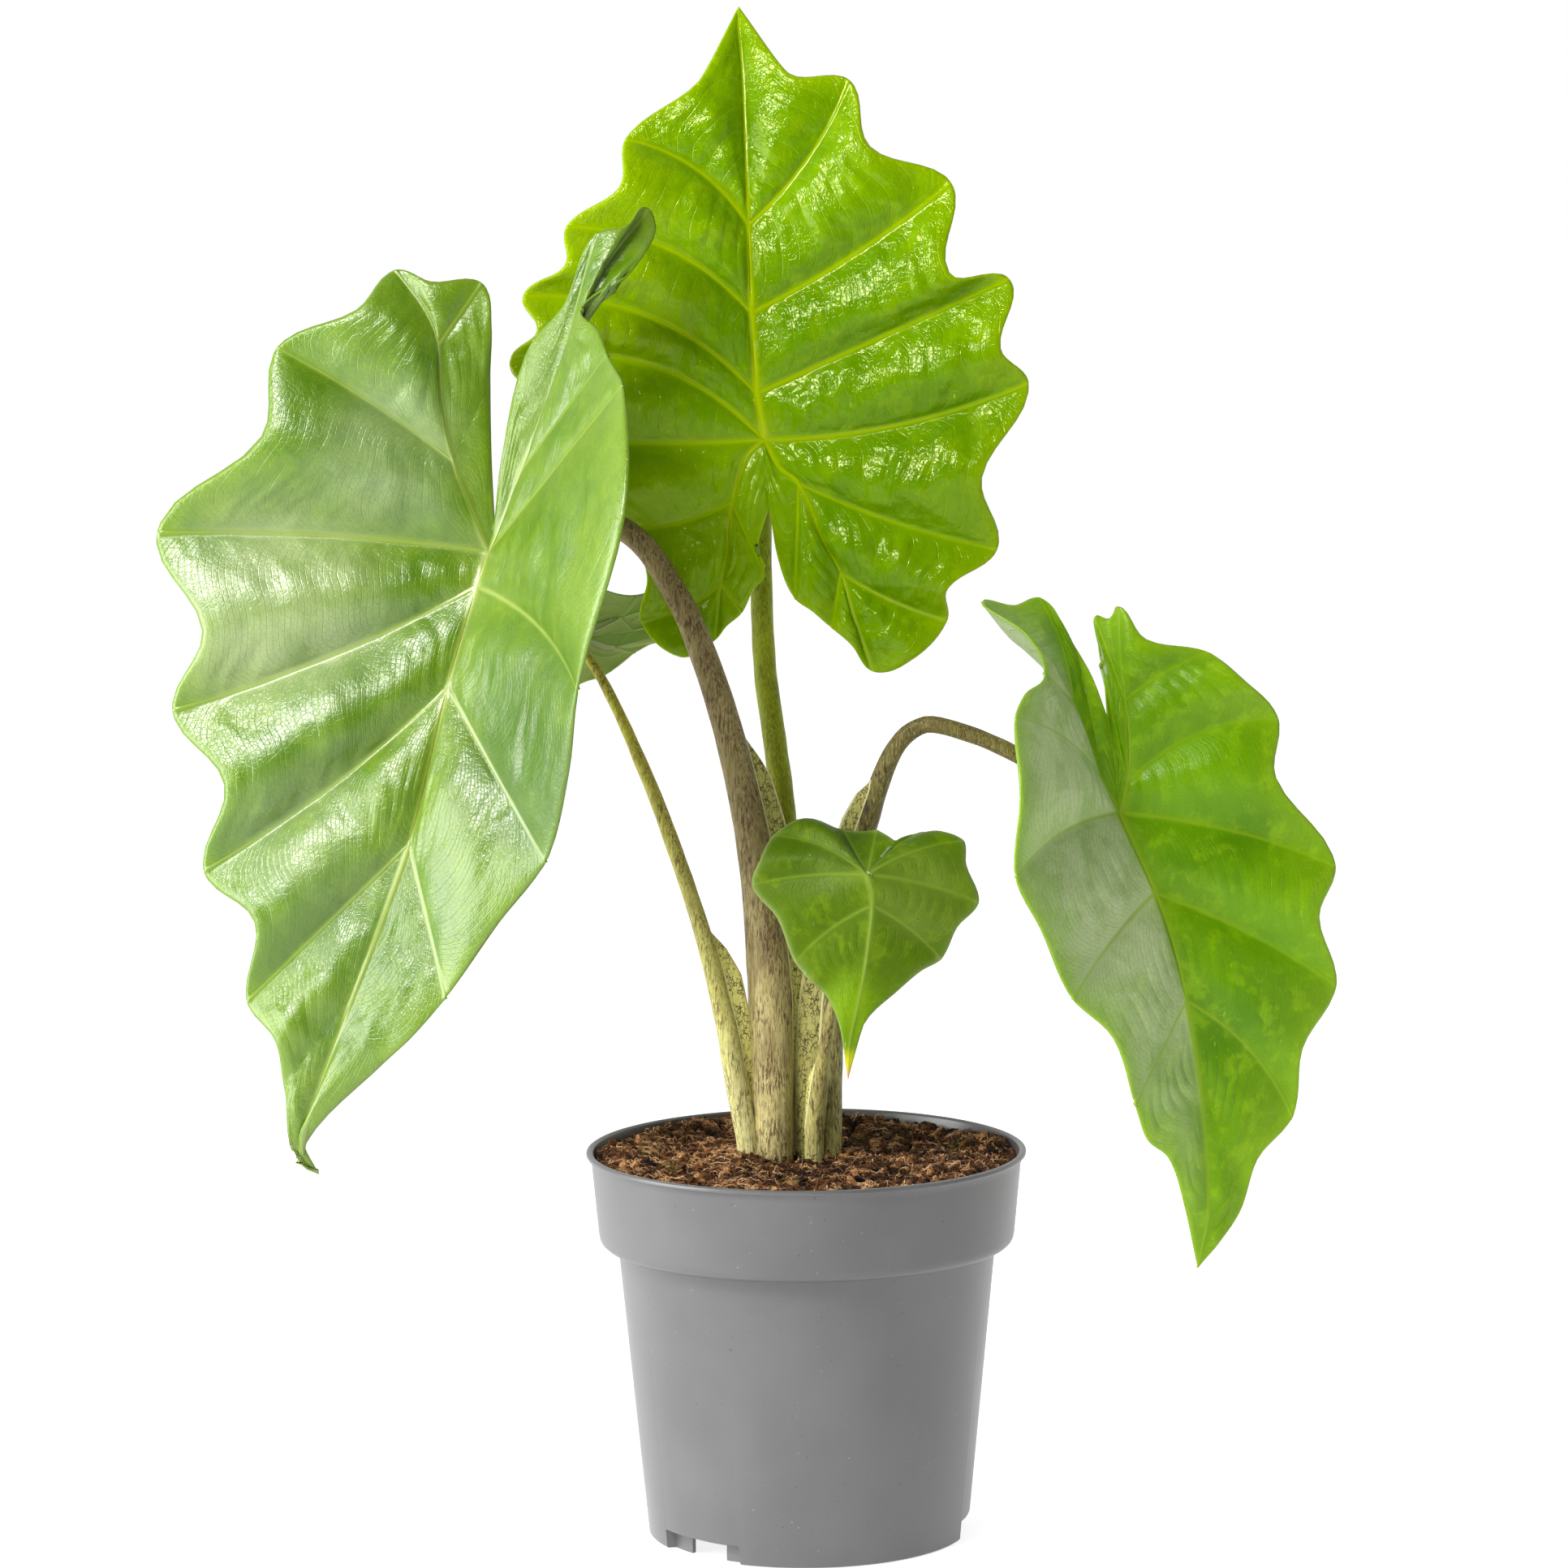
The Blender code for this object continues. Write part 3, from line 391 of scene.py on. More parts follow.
def smooth_line(points: Sequence[Sequence[float]], steps: int) -> Array:
    """Return a Catmull-Rom line through points.

    Args:
        points: The points, of any number of values each.
        steps: The steps to each span.

    Returns:
        One row for each point of the line.
    """
    knots = np.array(points, dtype=float)
    ends = np.vstack([knots[0] * 2 - knots[1], knots, knots[-1] * 2 - knots[-2]])
    shares = (np.arange(steps) / steps)[:, None]
    spans = []
    for before, start, end, after in zip(ends, ends[1:], ends[2:], ends[3:]):
        spans.append(0.5 * (2 * start + (end - before) * shares
                            + (2 * before - 5 * start + 4 * end - after) * shares ** 2
                            + (3 * start - before - 3 * end + after) * shares ** 3))
    return np.vstack(spans + [knots[-1:]])


def lumps(places: Array, size: float, seed: float) -> Array:
    """Return a smooth noise, about -1 to 1, at places in millimetres.

    Args:
        places: The places, one row of three for each.
        size: The size of a lump, in millimetres.
        seed: A number that picks the noise.

    Returns:
        One value for each place.
    """
    flat = places.reshape(-1, 3) / size
    shift = Vector((seed * 3.7, seed * 1.9, seed * 5.3))
    values = np.array([noise.noise(Vector(place) + shift) for place in flat])
    return values.reshape(places.shape[:-1])


def deselect() -> None:
    """Leave object mode's selection empty."""
    for item in list(bpy.context.selected_objects):
        item.select_set(False)


def wrapped_grid(name: str, places: Array, values: Dict[str, Array], weld: float = 1e-6) -> bpy.types.Object:
    """Model a grid and bend it to given places.

    Args:
        name: The object's name.
        places: Rows of places in millimetres, of shape (rows + 1, columns + 1, 3).
        values: Numbers that the mesh keeps, each of the grid's shape.
        weld: The distance under which points become one, in metres.

    Returns:
        The object, welded, with its faces turned by the grid's order.
    """
    rows, columns = places.shape[0] - 1, places.shape[1] - 1
    deselect()
    bpy.ops.mesh.primitive_grid_add(x_subdivisions=columns, y_subdivisions=rows, size=1.0)
    item = bpy.context.object
    item.name = name
    mesh = item.data
    mesh.name = name
    flat = np.empty(len(mesh.vertices) * 3)
    mesh.vertices.foreach_get("co", flat)
    spots = flat.reshape(-1, 3)
    column = np.rint((spots[:, 0] + 0.5) * columns).astype(int)
    row = np.rint((spots[:, 1] + 0.5) * rows).astype(int)
    mesh.vertices.foreach_set("co", (places[row, column] * MM).ravel())
    for key, numbers in values.items():
        layer = mesh.attributes.new(key, "FLOAT", "POINT")
        layer.data.foreach_set("value", numbers[row, column].astype(np.float32))
    mesh.update()
    bpy.ops.object.mode_set(mode="EDIT")
    bpy.ops.mesh.select_all(action="SELECT")
    bpy.ops.mesh.remove_doubles(threshold=weld)
    bpy.ops.object.mode_set(mode="OBJECT")
    bpy.ops.object.shade_smooth()
    return item


def apply_modifier(item: bpy.types.Object, name: str) -> None:
    """Apply one modifier of an object.

    Args:
        item: The object.
        name: The modifier's name.
    """
    deselect()
    item.select_set(True)
    bpy.context.view_layer.objects.active = item
    bpy.ops.object.modifier_apply(modifier=name)


def dress(item: bpy.types.Object, nodes: Sequence[str] = ()) -> None:
    """Make a piece ride on the plant and the nodes that it stands for.

    Args:
        item: The piece.
        nodes: The CAD nodes that it replaces.
    """
    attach(item, ROOT)
    if nodes:
        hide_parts(*nodes)
    LOG.info("%s: %d faces", item.name, len(item.data.polygons))


class Rib:
    """A rib's line in a leaf's drawing, measured along its length."""

    def __init__(self, points: Sequence[Point], forks: Sequence[int]) -> None:
        """Draw the rib.

        Args:
            points: Its points, from the stalk outwards.
            forks: Which of the points are forks.
        """
        self.line = smooth_line(points, SPAN_STEPS)
        spans = np.linalg.norm(np.diff(self.line, axis=0), axis=1)
        self.lengths = np.concatenate([[0.0], np.cumsum(spans)])
        self.forks = [self.lengths[fork * SPAN_STEPS] for fork in forks]
        self.total = float(self.lengths[-1])

    def at(self, lengths: Array) -> Array:
        """Return the points at lengths from the stalk."""
        return np.stack(
            [np.interp(lengths, self.lengths, self.line[:, axis]) for axis in range(3)], axis=-1)


@dataclass
class Panel:
    """The smooth surface between two veins, and how far its places are from the veins."""

    index: int
    places: Array
    across: Array
    row: Array
    wide: Array
    flow: float
    on_spine: bool
    gaps: List[Array] = field(default_factory=list)
    strengths: List[Array] = field(default_factory=list)

    @property
    def sunk(self) -> List[Array]:
        """Return the gaps, with more added to the gap to a vein that isn't raised."""
        return [gap if strength.max() > 0 else gap + FAINT_VEIN_GAP
                for gap, strength in zip(self.gaps, self.strengths)]

    @property
    def nearest(self) -> Array:
        """Return the gap to the nearer of the two veins."""
        return np.minimum.reduce(self.sunk[:2])

    @property
    def clear(self) -> Array:
        """Return the gap to the nearest vein or rib."""
        return np.minimum.reduce(self.sunk)

    @property
    def from_edge(self) -> Array:
        """Return the way from the places to the margin, in millimetres."""
        return (1 - self.row) * self.flow

    @property
    def ends(self) -> Array:
        """Return a share that is 1 half way out and 0 at the rib and at the margin."""
        return np.clip(np.sin(np.pi * self.row ** 0.8), 0, 1) ** 0.6

    @property
    def facing(self) -> Array:
        """Return the normals, with the typical one where the surface has no area.

        Returns:
            One direction for each place.
        """
        facing = unit(np.cross(np.gradient(self.places, axis=1), np.gradient(self.places, axis=0)))
        typical = unit(facing[len(facing) // 2:].mean(axis=(0, 1)))
        blank = np.linalg.norm(facing, axis=2, keepdims=True) < 0.5
        return np.where(blank, typical, facing)


@dataclass
class Leaf:
    """One blade: its ribs with their forks, and its veins in turn round the margin."""

    name: str
    stalk_end: Point
    ribs: Dict[str, Tuple[Sequence[Point], Sequence[int]]]
    veins: Tuple[Vein, ...]
    slot: str
    finish: LeafFinish
    swell: float
    rib_depth: float
    rib_width: float
    pucker: float
    faces_eye: bool = True
    blade: float = 0.9
    rows: int = 52
    columns: int = 18
    lace: float = 7.0
    lace_depth: float = 0.3
    tip_ease: float = 0.4
    seed: float = 1.0
    # Shares of painted sheen at each vein, blended across each panel.
    painted_sheen_by_vein: Tuple[float, ...] = ()
    lines: Dict[str, Rib] = field(init=False)

    def __post_init__(self) -> None:
        """Measure the ribs and set up the view in which the leaf is drawn."""
        self.lines = {name: Rib(*rib) for name, rib in self.ribs.items()}
        self.junction = np.array(self.stalk_end)
        forward = np.array((0.0, math.cos(EYE_DIP), -math.sin(EYE_DIP)))
        self.distance = float((self.junction - EYE) @ forward)
        self.right = np.array((1.0, 0.0, 0.0))
        self.up = np.cross(self.right, forward)
        self.away = (self.junction - EYE) / self.distance
        self.upper = -self.away if self.faces_eye else self.away
        whole = np.array((1.0,))
        self.tips = [self.along(vein, whole)[0] for vein in self.veins]
        self.bays = [np.array(vein.bay, dtype=float) for vein in self.veins]

    def place(self, drawn: Array) -> Array:
        """Return the places in the frame of points of the drawing.

        Args:
            drawn: The points: right, up and away from the eye.

        Returns:
            One place for each point, in millimetres.
        """
        spread = 1.0 + drawn[..., 2:3] / self.distance
        flat = drawn[..., 0:1] * self.right + drawn[..., 1:2] * self.up
        return self.junction + flat * spread + drawn[..., 2:3] * self.away

    def start(self, vein: Vein) -> float:
        """Return the length along its rib at which a vein starts."""
        return self.lines[vein.rib].forks[vein.fork]

    def along(self, vein: Vein, shares: Array) -> Array:
        """Return the drawn points at shares of a vein's length.

        Args:
            vein: The vein, or a rib's own end.
            shares: The shares, 0 at the fork and 1 at the tip.

        Returns:
            One point for each share.
        """
        rib = self.lines[vein.rib]
        start = self.start(vein)
        if vein.tip is None:
            return rib.at(start + (rib.total - start) * shares)
        foot = rib.at(np.array((start,)))[0]
        tip = np.array(vein.tip, dtype=float)
        chord = tip - foot
        side = unit(np.array((-chord[1], chord[0], 0.0)))
        knee = (foot + tip) / 2 + side * (2 * vein.bow)
        out = shares[..., None]
        return foot * (1 - out) ** 2 + knee * (2 * out * (1 - out)) + tip * out ** 2

    def pair(self, index: int) -> Tuple[Vein, Vein]:
        """Return the two veins beside a panel."""
        return self.veins[index], self.veins[(index + 1) % len(self.veins)]

    def spine_rib(self, index: int) -> str:
        """Return the rib on which both of a panel's veins have their feet."""
        first, second = self.pair(index)
        return first.rib if self.start(first) > self.start(second) else second.rib

    def spine_lengths(self, index: int, across: Array) -> Array:
        """Return lengths along that rib at shares of the way between the feet."""
        low, high = (self.start(vein) for vein in self.pair(index))
        return low + (high - low) * across

    def spine(self, index: int, across: Array) -> Array:
        """Return the drawn points on the rib between the feet of a panel's veins."""
        return self.lines[self.spine_rib(index)].at(self.spine_lengths(index, across))

    def turn_at(self, index: int) -> Optional[Array]:
        """Return the margin's direction at a vein's tip, or None where it has a corner.

        Args:
            index: The vein.

        Returns:
            The direction in the drawing, or None.
        """
        vein = self.veins[index]
        if not vein.raised or (vein.tip is None and vein.rib == "midrib"):
            return None
        arriving = unit(self.tips[index] - self.bays[index - 1])
        return unit(arriving + unit(self.bays[index] - self.tips[index]))

    def margin(self, index: int, across: Array) -> Array:
        """Return the drawn points on the margin between the tips of a panel's veins.

        Args:
            index: The panel.
            across: Shares of the way from the first tip to the second.

        Returns:
            One point for each share.
        """
        after = (index + 1) % len(self.veins)
        start, bay, end = self.tips[index], self.bays[index], self.tips[after]
        level = unit(end - start)
        leave, arrive = self.turn_at(index), self.turn_at(after)
        leave = unit(bay - start) if leave is None else leave
        arrive = unit(end - bay) if arrive is None else arrive
        near, far = np.linalg.norm(bay - start), np.linalg.norm(end - bay)
        at_tip = [vein.tip is None and vein.rib == "midrib" for vein in self.pair(index)]
        ease = [self.tip_ease if beside else 1.0 for beside in at_tip]
        share = np.where(across < 0.5, across * 2, across * 2 - 1)[..., None]
        square, cube = share ** 2, share ** 3
        weights = (2 * cube - 3 * square + 1, cube - 2 * square + share,
                   3 * square - 2 * cube, cube - square)
        first = (start * weights[0] + leave * near * weights[1] + bay * weights[2]
                 + level * ease[0] * near * weights[3])
        second = (bay * weights[0] + level * ease[1] * far * weights[1] + end * weights[2]
                  + arrive * far * weights[3])
        return np.where(across[..., None] < 0.5, first, second)

    @staticmethod
    def rib_weight(name: str, share: Array) -> Array:
        """Return how strong a rib is at shares of its length."""
        return (1.0 if name == "midrib" else 0.6) * (1 - 0.8 * share)

    def weight(self, vein: Vein, out: Array) -> Array:
        """Return how strong a vein is along its length, where 1 is the midrib at the stalk.

        Args:
            vein: The vein.
            out: Shares of its length.

        Returns:
            One strength for each share.
        """
        if not vein.raised or vein.faint:
            return np.zeros_like(out)
        if vein.tip is None:
            rib, start = self.lines[vein.rib], self.start(vein)
            return self.rib_weight(vein.rib, (start + (rib.total - start) * out) / rib.total)
        return 0.5 * self.rib_weight(vein.rib, out)

    def spine_weight(self, index: int, across: Array) -> Array:
        """Return how strong the rib is between the feet of a panel's veins."""
        name = self.spine_rib(index)
        return self.rib_weight(name, self.spine_lengths(index, across) / self.lines[name].total)

    def shares(self, widths: Array) -> Array:
        """Return the shares of the columns for each row, closer together beside the veins.

        Args:
            widths: The panel's width at each row.

        Returns:
            One row of shares for each width.
        """
        near = np.array((0.0, 0.5, 1.0, 1.6, 2.4, 3.6))
        scale = np.minimum(1.0, 0.3 * widths / near[-1]) / np.maximum(widths, 1e-6)
        left = near[None, :] * np.where(widths > 1e-6, scale, 0.3 / near[-1])[:, None]
        inner = self.columns - 2 * (len(near) - 1)
        middle = np.linspace(0, 1, inner + 1)[None, 1:-1]
        between = left[:, -1:] + (1 - 2 * left[:, -1:]) * middle
        return np.hstack([left, between, 1 - left[:, ::-1]])

    def panel(self, index: int) -> Tuple[Array, Dict[str, Array]]:
        """Shape the grid of one panel, between two veins.

        Args:
            index: The panel.

        Returns:
            The places, and the numbers that the finish reads.
        """
        first, second = self.pair(index)
        out = np.linspace(0, 1, self.rows + 1) ** ROW_EASE
        left, right = self.along(first, out), self.along(second, out)
        spine_length = abs(self.start(first) - self.start(second))
        widths = np.linalg.norm(left - right, axis=1)
        widths[0] = spine_length
        across = self.shares(widths)
        depth = out[:, None, None]
        share = across[..., None]
        drawn = left[:, None] * (1 - share) + right[:, None] * share
        inner_chord = left[0] * (1 - share) + right[0] * share
        outer_chord = left[-1] * (1 - share) + right[-1] * share
        drawn = drawn + (self.spine(index, across) - inner_chord) * (1 - depth)
        fan = spine_length < SHORT_SPINE and (first.faint or second.faint)
        drawn = drawn + (self.margin(index, across) - outer_chord) * (depth ** 2 if fan else depth)
        places = self.place(drawn)
        flow = float(np.linalg.norm(np.diff(places, axis=0), axis=2).sum(axis=0).mean())
        return self.relief(self.measured(Panel(
            index, places, across, np.broadcast_to(out[:, None], across.shape),
            np.maximum(widths, 0.001)[:, None], flow, spine_length > SHORT_SPINE)))

    def measured(self, panel: Panel) -> Panel:
        """Return a panel with its gaps to its veins, and how strong each vein is there.

        Args:
            panel: The panel, which is changed.

        Returns:
            The panel.
        """
        first, second = self.pair(panel.index)
        across, row = panel.across, panel.row
        panel.gaps = [across * panel.wide, (1 - across) * panel.wide, row * panel.flow * SPINE_SHARE]
        panel.strengths = [
            self.weight(first, row), self.weight(second, row), self.spine_weight(panel.index, across)]
        if first.faint or second.faint:
            if panel.on_spine:
                panel.gaps[2] = self.rib_gap(self.spine_rib(panel.index), panel.places)
            elif first.tip is None or second.tip is None:
                panel.gaps[0 if first.tip is None else 1] = self.rib_gap(first.rib, panel.places)
        if not panel.on_spine:
            del panel.gaps[2], panel.strengths[2]
        return panel

    def relief(self, panel: Panel) -> Tuple[Array, Dict[str, Array]]:
        """Raise the veins, swell the panel between them and quilt it along its side veins.

        Args:
            panel: The smooth panel.

        Returns:
            The places, and the numbers that the finish reads.
        """
        first, second = self.pair(panel.index)
        across, row, clear = panel.across, panel.row, panel.clear
        vein, halo = self.ridges(panel)
        wander = lumps(panel.places, 17.0, self.seed)
        inside = 4 * across * (1 - across)
        phase = (row * panel.flow - 0.32 * panel.wide * inside ** 0.8) / self.lace
        phase = phase + wander * 0.30 + panel.index * 0.37
        edge = np.exp(-panel.from_edge / EDGE_ROUND)
        height = self.swelling(panel) + self.quilting(panel, phase, wander)
        height = height - EDGE_DROP * edge * smooth_step(panel.nearest / 2.0)
        ridge = RIDGE_SHARE * self.rib_depth * vein
        on_vein = ((across < 1e-9) & (not first.faint)) | ((across > 1 - 1e-9) & (not second.faint))
        on_vein = on_vein | (row < 1e-9)
        turn = smooth_step(clear / 3.0)[..., None]
        lift = unit(self.upper * (1 - turn) + panel.facing * turn)
        lift = np.where(on_vein[..., None], self.upper, lift)
        numbers = {
            "vein": vein, "halo": halo, "edge": edge, "lace": phase,
            "between": smooth_step(clear / 4.0), "girth": np.clip(vein, 0, 1),
            # Where painted sheen lies on the panel.
            "painted_sheen": self.painted_sheen(panel.index, across) * smooth_step(row * panel.flow / 2.5),
            # The margin band painted paler, as light shining through it.
            "outer": np.exp(-panel.from_edge / MARGIN_GLOW_BAND)}
        return panel.places + lift * np.where(on_vein, ridge, height + ridge)[..., None], numbers

    def swelling(self, panel: Panel) -> Array:
        """Return how far a panel bulges between its veins, in millimetres.

        Args:
            panel: The panel.

        Returns:
            One height for each of its places.
        """
        first, second = self.pair(panel.index)
        across = panel.across
        if first.faint or second.faint:
            height = self.crest(panel) * (
                np.cos(np.pi / 2 * across) if first.faint else np.sin(np.pi / 2 * across))
        else:
            swell = np.minimum(self.swell, SWELL_LIMIT * panel.wide) * self.swell_share(panel.index)
            height = swell * panel.ends * (
                0.55 * (1 - np.abs(2 * across - 1) ** 2.2)
                + 0.45 * (1 - np.exp(-(panel.nearest / 7.0) ** 1.5)))
        return height * (1 + 0.45 * lumps(panel.places, 30.0, self.seed + 1))

    def quilting(self, panel: Panel, phase: Array, wander: Array) -> Array:
        """Return the folds along a panel's side veins and its dents, in millimetres.

        Args:
            panel: The panel.
            phase: How many side veins lie between the rib and each place.
            wander: A smooth noise.

        Returns:
            One height for each of its places.
        """
        places, clear = panel.places, panel.clear
        calm = smooth_step((clear - 0.6) / CALM_BAND) * smooth_step(panel.from_edge / EDGE_CALM)
        still = smooth_step((np.minimum.reduce(panel.gaps) - 0.6) / CALM_BAND)
        ripple = np.abs(np.sin(np.pi * phase)) ** 0.7 - 0.6
        patch = smooth_step(0.5 + 1.3 * lumps(places, 34.0, self.seed + 5))
        near_rib = 0.35 + 0.65 * np.exp(-(panel.gaps[2] if panel.on_spine else clear) / 45.0)
        folds = self.lace_depth * ripple * calm * still * near_rib * (0.35 + patch)
        dents = 0.9 * lumps(places, 9.0, self.seed + 2) + 0.7 * lumps(places, 5.0, self.seed + 3)
        waves = 1.6 * wander * smooth_step(clear / 10.0) * panel.ends
        return folds + self.pucker * (calm * dents * (0.4 + patch) + waves)

    def ridges(self, panel: Panel) -> Tuple[Array, Array]:
        """Return the veins' ridges on a panel and the soft halo beside them, 0 to 1.

        Args:
            panel: The panel.

        Returns:
            The ridges and the halo.
        """
        pairs = list(zip(panel.gaps, panel.strengths))
        vein = np.maximum.reduce([
            (strength > 0) * (LEAST_RIDGE + (1 - LEAST_RIDGE) * strength)
            * np.exp(-(gap / (LEAST_RIDGE + self.rib_width * strength)) ** 2) for gap, strength in pairs])
        halo = np.maximum.reduce([
            strength * np.exp(-gap / (1.2 + 4.0 * strength)) for gap, strength in pairs])
        return vein, halo

    def rib_gap(self, name: str, places: Array) -> Array:
        """Return how far places are from a rib's line.

        Args:
            name: The rib.
            places: The places.

        Returns:
            One distance in millimetres for each place.
        """
        rib = self.lines[name]
        line = self.place(rib.at(np.linspace(0, rib.total, 160)))
        start, step = line[:-1], np.diff(line, axis=0)
        reach = places[..., None, :] - start
        share = np.clip((reach * step).sum(axis=-1) / (step ** 2).sum(axis=-1), 0, 1)
        return np.linalg.norm(reach - share[..., None] * step, axis=-1).min(axis=-1)

    def crest(self, panel: Panel) -> Array:
        """Return the swelling's height along a panel's faint vein, the same from both its sides.

        Args:
            panel: The panel.

        Returns:
            One height for each of its places.
        """
        count = len(self.veins)
        middle = panel.index if self.veins[panel.index].faint else (panel.index + 1) % count
        before, after = (middle - 1) % count, (middle + 1) % count
        spread = float(np.linalg.norm(self.tips[after] - self.tips[before]))
        share = min(self.swell_share(before), self.swell_share(middle))
        return np.minimum(self.swell, SWELL_LIMIT * spread * panel.row) * panel.ends * share

    def painted_sheen(self, index: int, across: Array) -> Array:
        """Return the painted sheen's share over a panel, from its shares at the panel's two veins.

        Args:
            index: The panel.
            across: Shares of the way over it.

        Returns:
            One share for each place.
        """
        after = (index + 1) % len(self.veins)
        first, second = (self.painted_sheen_by_vein[at] if at < len(self.painted_sheen_by_vein) else 0.0 for at in (index, after))
        return first * (1 - across) + second * across

    def swell_share(self, index: int) -> float:
        """Return how much of the swelling a panel gets, less beside the cleft and at the tip.

        Args:
            index: The panel.

        Returns:
            The share.
        """
        first, second = self.pair(index)
        if not (first.raised and second.raised):
            return 0.25
        ends = (first.tip is None and first.rib == "midrib", second.tip is None and second.rib == "midrib")
        return 0.55 if any(ends) else 1.0

    def build(self) -> bpy.types.Object:
        """Shape the whole blade, give it thickness and finish it.

        Returns:
            The blade.
        """
        count = len(self.veins)
        shape = (self.rows + 1, count * self.columns + 1)
        places = np.zeros(shape + (3,))
        values: Dict[str, Array] = {}
        for index in range(count):
            spots, numbers = self.panel(index)
            span = slice(index * self.columns, (index + 1) * self.columns + 1)
            places[:, span] = spots
            for key, grid in numbers.items():
                values.setdefault(key, np.zeros(shape))[:, span] = grid
        places[:, -1] = places[:, 0]
        item = wrapped_grid(self.name + "_blade", places, values)
        self.thicken(item)
        dress(item, (self.name,))
        return item

    def thicken(self, item: bpy.types.Object) -> None:
        """Give the blade its thickness, with round ribs on the underside.

        Args:
            item: The open sheet.
        """
        group = item.vertex_groups.new(name="girth")
        girth = np.empty(len(item.data.vertices))
        item.data.attributes["girth"].data.foreach_get("value", girth)
        for level in range(1, 65):
            members = np.nonzero(np.rint(girth * 64) == level)[0]
            if len(members):
                group.add(members.tolist(), level / 64, "REPLACE")
        for surface in Surface:
            item.data.materials.append(LeafSkin.of(self.finish, surface))
        shell = item.modifiers.new("thickness", "SOLIDIFY")
        shell.thickness = (self.blade + self.rib_depth) * MM
        shell.thickness_vertex_group = self.blade / (self.blade + self.rib_depth)
        shell.vertex_group = "girth"
        shell.offset = -1.0
        shell.material_offset = 1
        shell.material_offset_rim = 2
        apply_modifier(item, "thickness")


